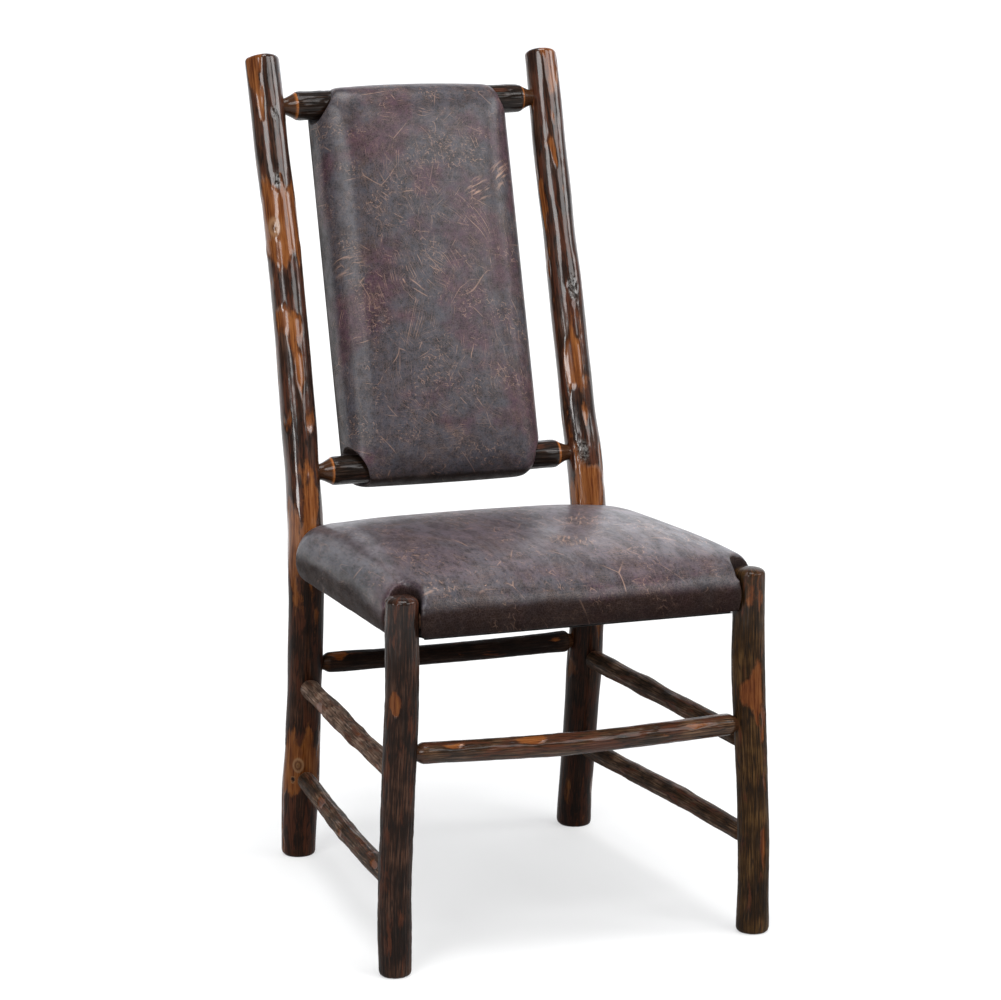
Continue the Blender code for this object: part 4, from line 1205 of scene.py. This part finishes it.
def leather_material(name, face, stretch, dark, sheen_share, gloss, scuffs=()):
    """Worn leather: slate and plum, crackled and scratched, with painted shade where it turns away from
    the light.

    Face is the way that its lit and worn side looks. Stretch squeezes its marks along the three axes.
    The next pair bounds the painted shade by how nearly a place looks that way: below the first value
    it is all painted shade, above the second there is none. Then come the share of paler colour on the
    lit side, a painted sheen, and gloss, how much that side is polished.
    """
    shader = Shader(name)
    real = shader.place()
    place = shader.scaled(real, *stretch)
    drift = shader.noise(place, 30.0, 3.0, 0.5, "Color")
    drift = shader.scaled(shader.vector("SUBTRACT", drift, MID_GREY), 0.010, 0.010, 0.010)
    bent = shader.vector("ADD", place, drift)
    crackle = shader.cells(bent, 300.0, "DISTANCE_TO_EDGE")
    pebble = shader.cells(place, 950.0)
    mottle = shader.noise(place, 11.0, 5.0, 0.6)
    tone = shader.noise(place, 60.0, 5.0, 0.65)
    grit = shader.noise(place, 240.0, 3.0, 0.6)
    colour = shader.mix(shader.between(mottle, 0.46, 0.60), SLATE, PLUM)
    normal = shader.place("Normal")
    # How nearly the leather faces the light; the painted sheen and painted shade follow it.
    light_facing = shader.plus(shader.dot(normal, tuple(face)), shader.swing(mottle, 0.5))
    # Painted light: paler colour where the leather faces the light, a painted sheen.
    colour = shader.mix(shader.between(light_facing, 0.55, 1.0, 0.0, sheen_share), colour, PAINTED_SHEEN)
    colour = shader.mix(shader.between(tone, 0.35, 0.70, 0.0, 0.7), colour, DEEP)
    colour = shader.mix(shader.between(grit, 0.48, 0.70, 0.0, 0.6), colour, DEEP)
    # Painted shade: dark brown where the leather turns away from the light.
    painted_shade = shader.between(light_facing, *dark, 0.92, 0.0)
    colour = shader.mix(painted_shade, colour, PAINTED_SHADE_BROWN)
    # Crackle and scratches fade out in the painted shade.
    kept = shader.between(painted_shade, 0.0, 1.0, 1.0, 0.28)
    lines = shader.between(crackle, 0.0, 0.10, 0.34, 0.0)
    colour = shader.mix(shader.times(lines, kept), colour, CRACKED)
    layers = [scratch_layer(shader, bent, normal, *layer) for layer in SCRATCHES]
    layers += [arc_layer(shader, unroll(shader, place, face)),
               craze_layer(shader, unroll(shader, bent, face))]
    layers += [scuff_layer(shader, real, face, *scuff) for scuff in scuffs]
    marks = shader.most(*layers)
    colour = shader.mix(shader.times(marks, shader.times(kept, 0.95)), colour, TAN)
    relief = shader.plus(shader.times(crackle, 0.8), shader.times(pebble, -0.25))
    shader.bump(shader.math("SUBTRACT", relief, shader.times(marks, 0.30)), 0.0006, 0.6)
    polish = shader.between(painted_shade, 0.1, 0.9, gloss, 0.0)
    polish = shader.times(polish, shader.between(tone, 0.3, 0.7, 1.0, 0.7))
    shader.set(base_color=colour, roughness=shader.between(tone, 0.3, 0.7, 0.55, 0.7),
               specular_ior_level=0.05, coat_weight=polish, coat_roughness=0.30,
               coat_tint=COAT_TINT)
    return shader.material


def wood_material(name, dark, light, scale):
    """Plain sawn or shaved wood, with its grain along X."""
    shader = Shader(name)
    grain = shader.noise(shader.scaled(shader.place(), 0.25, 1.0, 1.0), scale, 6.0, 0.6)
    shader.set(base_color=shader.ramp(grain, ((0.35, dark), (0.65, light))),
               roughness=shader.between(grain, 0.3, 0.7, 0.5, 0.7))
    shader.bump(grain, 0.0004, 0.5)
    return shader.material


def steel_material():
    shader = Shader("zinc_steel")
    wear = shader.noise(shader.place(), 900.0, 3.0)
    shader.set(base_color=shader.ramp(wear, ((0.3, (0.30, 0.30, 0.31)), (0.7, (0.58, 0.58, 0.57)))),
               metallic=1.0, roughness=shader.between(wear, 0.3, 0.7, 0.30, 0.45))
    shader.bump(wear, 0.0001, 0.4)
    return shader.material


def cambric_material():
    """Thin black non-woven cloth, with fine flecks."""
    shader = Shader("black_cambric")
    place = shader.place()
    fleck = shader.noise(place, 1400.0, 3.0, 0.7)
    weave = shader.cells(place, 700.0)
    shader.set(base_color=shader.ramp(fleck, ((0.35, (0.006, 0.006, 0.006)), (0.7, (0.03, 0.03, 0.032)))),
               roughness=shader.between(weave, 0.1, 0.6, 0.8, 0.95), sheen_weight=0.2)
    shader.bump(shader.plus(fleck, weave), 0.0003, 0.5)
    return shader.material


# Stage

FLOOR_SIZE = 140.0
FLOOR_PALE = (0.46, 0.46, 0.46)    # what the lamps light of it, besides its own white
FLOOR_SPECK = (0.47, 0.47, 0.47)
FLOOR_WHITE = 0.5
FLOOR_BOUNCE = (0.30, 0.30, 0.30)  # its colour for the light that it throws back
CAMERA_PLACE = Vector((-1.4844, -4.0162, 1.3650))
CAMERA_TARGET = Vector((-0.0044, -0.0655, 0.5331))
CAMERA_LENS = 118.57
CAMERA_SENSOR = 36.0
WORLD_WAY = (0.50, 0.866, 0.0)    # towards the white sweep, behind the chair and to its right
# Tones of the room from the way's other end, at 0, to the sweep, at 1
WORLD = ((0.45, (0.11, 0.115, 0.12)), (0.78, (0.26, 0.27, 0.28)), (0.96, (1.75, 1.80, 1.90)))

LAMP_FAR = 3.0
# Soft lamps: azimuth and height in degrees, angle across, strength
LAMPS = {
    "key": (-43.5, 31.0, 24.0, 1.15),
    "second": (33.0, 32.0, 28.0, 0.95),
    "right": (70.0, 26.0, 24.0, 1.00),
    "overhead": (-10.0, 80.0, 36.0, 2.3),
    "low": (-60.0, 9.0, 12.0, 0.55),
}


def make_floor():
    floor = new_piece("floor", [(x * FLOOR_SIZE, y * FLOOR_SIZE, 0.0)
                                for x, y in ((-1, -1), (1, -1), (1, 1), (-1, 1))], [(0, 1, 2, 3)])
    shader = Shader("pale_floor")
    rays = shader.node("ShaderNodeLightPath", {}).outputs
    seen = shader.most(*(rays[f"Is {kind} Ray"] for kind in ("Camera", "Glossy", "Transmission")))
    speck = shader.noise(shader.place(), 3.0, 2.0)
    pale = shader.ramp(speck, ((0.0, FLOOR_PALE), (1.0, FLOOR_SPECK)))
    shader.set(base_color=shader.mix(seen, FLOOR_BOUNCE, pale), roughness=0.9,
               specular_ior_level=0.0, emission_color=(1.0, 1.0, 1.0),
               emission_strength=shader.times(seen, FLOOR_WHITE))
    floor.data.materials.append(shader.material)


def make_lamps():
    for name, (azimuth, height, across, strength) in LAMPS.items():
        lamp = bpy.data.lights.new(name, "SUN")
        lamp.energy = strength
        lamp.angle = math.radians(across)
        holder = add_object(name, lamp)
        turn, rise = math.radians(azimuth), math.radians(height)
        back = Vector((math.sin(turn) * math.cos(rise), -math.cos(turn) * math.cos(rise),
                       math.sin(rise)))
        holder.rotation_euler = (-back).to_track_quat("-Z", "Y").to_euler()
        holder.location = back * LAMP_FAR


def make_world():
    """A grey room with a white sweep."""
    world = bpy.data.worlds.new("studio")
    world.use_nodes = True
    nodes = Nodes(world.node_tree)
    toward = nodes.dot(nodes.place("Generated"), WORLD_WAY)
    colour = nodes.ramp(nodes.plus(nodes.times(toward, 0.5), 0.5), WORLD, "EASE")
    nodes.feed(world.node_tree.nodes["Background"].inputs["Color"], colour)
    bpy.context.scene.world = world


def make_camera():
    camera = bpy.data.cameras.new("camera")
    camera.lens = CAMERA_LENS
    camera.sensor_width = CAMERA_SENSOR
    holder = add_object("camera", camera)
    holder.location = CAMERA_PLACE
    holder.rotation_euler = (CAMERA_TARGET - CAMERA_PLACE).to_track_quat("-Z", "Y").to_euler()
    bpy.context.scene.camera = holder


# Putting it together

BACK_LIGHT_RISE = 0.90               # how far the back's painted light and shade lean upwards, so that its top roll is lit
SEAT_LIGHT_LEFT = 0.20              # how far the seat's painted light and shade lean to the left, so that its left side is less shaded
SEAT_SHADE = (0.39, 0.48)     # heights below which painted shade darkens the rear posts and their lacquer thins
FRONT_SHADE = (0.37, 0.47)    # the same heights on the front posts, where only the lacquer thins
# Stretch of the marks, bounds of the painted shade, share of the painted sheen, and gloss of the leathers
SEAT_LEATHER = ((1.0, 0.36, 1.0), (0.12, 0.62), 0.6, 0.60)
BACK_LEATHER = ((1.0, 1.0, 1.0), (-0.25, 0.25), 0.0, 0.55)
OUTSIDE_LEATHER = ((1.0, 1.0, 1.0), (-0.05, 0.50), 0.0, 0.55)
# Barks by a word in a pole's name, the first that fits: material, tones, bare wood, red-brown,
# finish, rings at the shoulders, and painted shade and thinner lacquer low on a post
REAR_TONES = ((0.006, 0.003, 0.002), (0.026, 0.010, 0.005), (0.082, 0.037, 0.021))
REAR_FINISH = (0.40, 0.25, 0.80, 0.90, 0.28)
BARKS = {
    "rear_post_left": ("rear_left_bark", REAR_TONES, BARE_WOOD, 0.8, REAR_FINISH, 0.0,
                       (*SEAT_SHADE, 0.75, 0.05)),
    # The right rear post keeps less of its tone below the seat: more painted shade.
    "rear_post_right": ("rear_right_bark", REAR_TONES, BARE_WOOD, 0.8, REAR_FINISH, 0.0,
                        (*SEAT_SHADE, 0.42, 0.05)),
    "front_post_right": (
        "gold_bark", ((0.005, 0.0025, 0.001), (0.031, 0.014, 0.004), (0.120, 0.060, 0.019)),
        DARK_WOOD, 0.2, (0.60, 0.30, 0.30, 1.0, 1.3), 0.0, (*FRONT_SHADE, 1.0, 0.25)),
    "front_post_left": (
        "front_bark", ((0.003, 0.0015, 0.001), (0.019, 0.008, 0.0045), (0.090, 0.042, 0.025)),
        DARK_WOOD, 0.4, (0.60, 0.30, 0.45, 1.0, 1.3), 0.0, (*FRONT_SHADE, 1.0, 0.30)),
    # The rear stretcher's bark is dark all over: painted shade under the seat.
    "rear_stretcher": (
        "shaded_bark", ((0.002, 0.001, 0.001), (0.011, 0.005, 0.003), (0.040, 0.020, 0.012)),
        DARK_WOOD, 0.2, (0.60, 0.30, 0.0, 0.20, 1.0)),
    "left_upper_stretcher": (
        "pale_bark", ((0.022, 0.012, 0.007), (0.145, 0.088, 0.060), (0.400, 0.265, 0.190)),
        DARK_WOOD, 0.6, (0.70, 0.35, 0.0, 0.28, 1.0)),
    "front_stretcher": (
        "gloss_bark", ((0.006, 0.003, 0.001), (0.042, 0.020, 0.009), (0.170, 0.090, 0.048)),
        BARE_WOOD, 0.9, (0.60, 0.30, 0.35, 1.0, 1.0)),
    "back_rail": (
        "rail_bark", ((0.003, 0.002, 0.001), (0.014, 0.007, 0.004), (0.056, 0.030, 0.018)),
        DARK_WOOD, 0.2, (0.45, 0.25, 0.30, 1.0, 0.7), 1.0),
    "stretcher": (
        "rung_bark", ((0.008, 0.004, 0.0015), (0.052, 0.027, 0.014), (0.195, 0.113, 0.067)),
        DARK_WOOD, 0.6, (0.70, 0.35, 0.05, 0.42, 1.0)),
}
FIRST_SEED = 100
SEEDS_APART = 10


def make_poles():
    """Every post, stretcher and back rail in bark, with its own look."""
    barks = {word: bark_material(*values) for word, values in BARKS.items()}
    posts = {}
    for number, name in enumerate(LOOKS):
        upright = "post" in name
        pole = measure_post(name) if upright else measure_rung(name)
        piece = build_pole(pole, upright, FIRST_SEED + SEEDS_APART * number)
        if upright:
            posts[name] = pole
        piece.data.materials.append(next(barks[word] for word in barks if word in name))
        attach(piece, "root")
        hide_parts(name)
    return posts


def dress_inner_nodes():
    """Real materials for the solids that stay as they are."""
    steel = steel_material()
    plywood = wood_material("plywood", (0.40, 0.27, 0.15), (0.60, 0.45, 0.28), 90.0)
    hickory = wood_material("bare_hickory", (0.055, 0.022, 0.009), (0.17, 0.075, 0.032), 140.0)
    kept = {"pin": steel, "screw": steel, "deck": plywood, "board": plywood, "rail": hickory}
    for name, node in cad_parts.items():
        if node.hide_render:
            continue
        word = next(word for word in kept if word in name)
        node.material_slots[0].material = kept[word]


def main():
    make_camera()
    make_lamps()
    make_world()
    make_floor()
    posts = make_poles()
    forward = Vector(panel_frame()[0].col[2][:3])
    make_seat(posts, leather_material("seat_leather", UP - RIGHT * SEAT_LIGHT_LEFT, *SEAT_LEATHER,
                                      SEAT_SCUFFS))
    make_panel(leather_material("back_leather", forward + UP * BACK_LIGHT_RISE, *BACK_LEATHER,
                                PANEL_SCUFFS))
    make_outside_panel(leather_material("outside_leather", -forward, *OUTSIDE_LEATHER))
    make_dust_cover(cambric_material())
    dress_inner_nodes()
    bpy.context.scene.view_settings.view_transform = "Standard"


main()
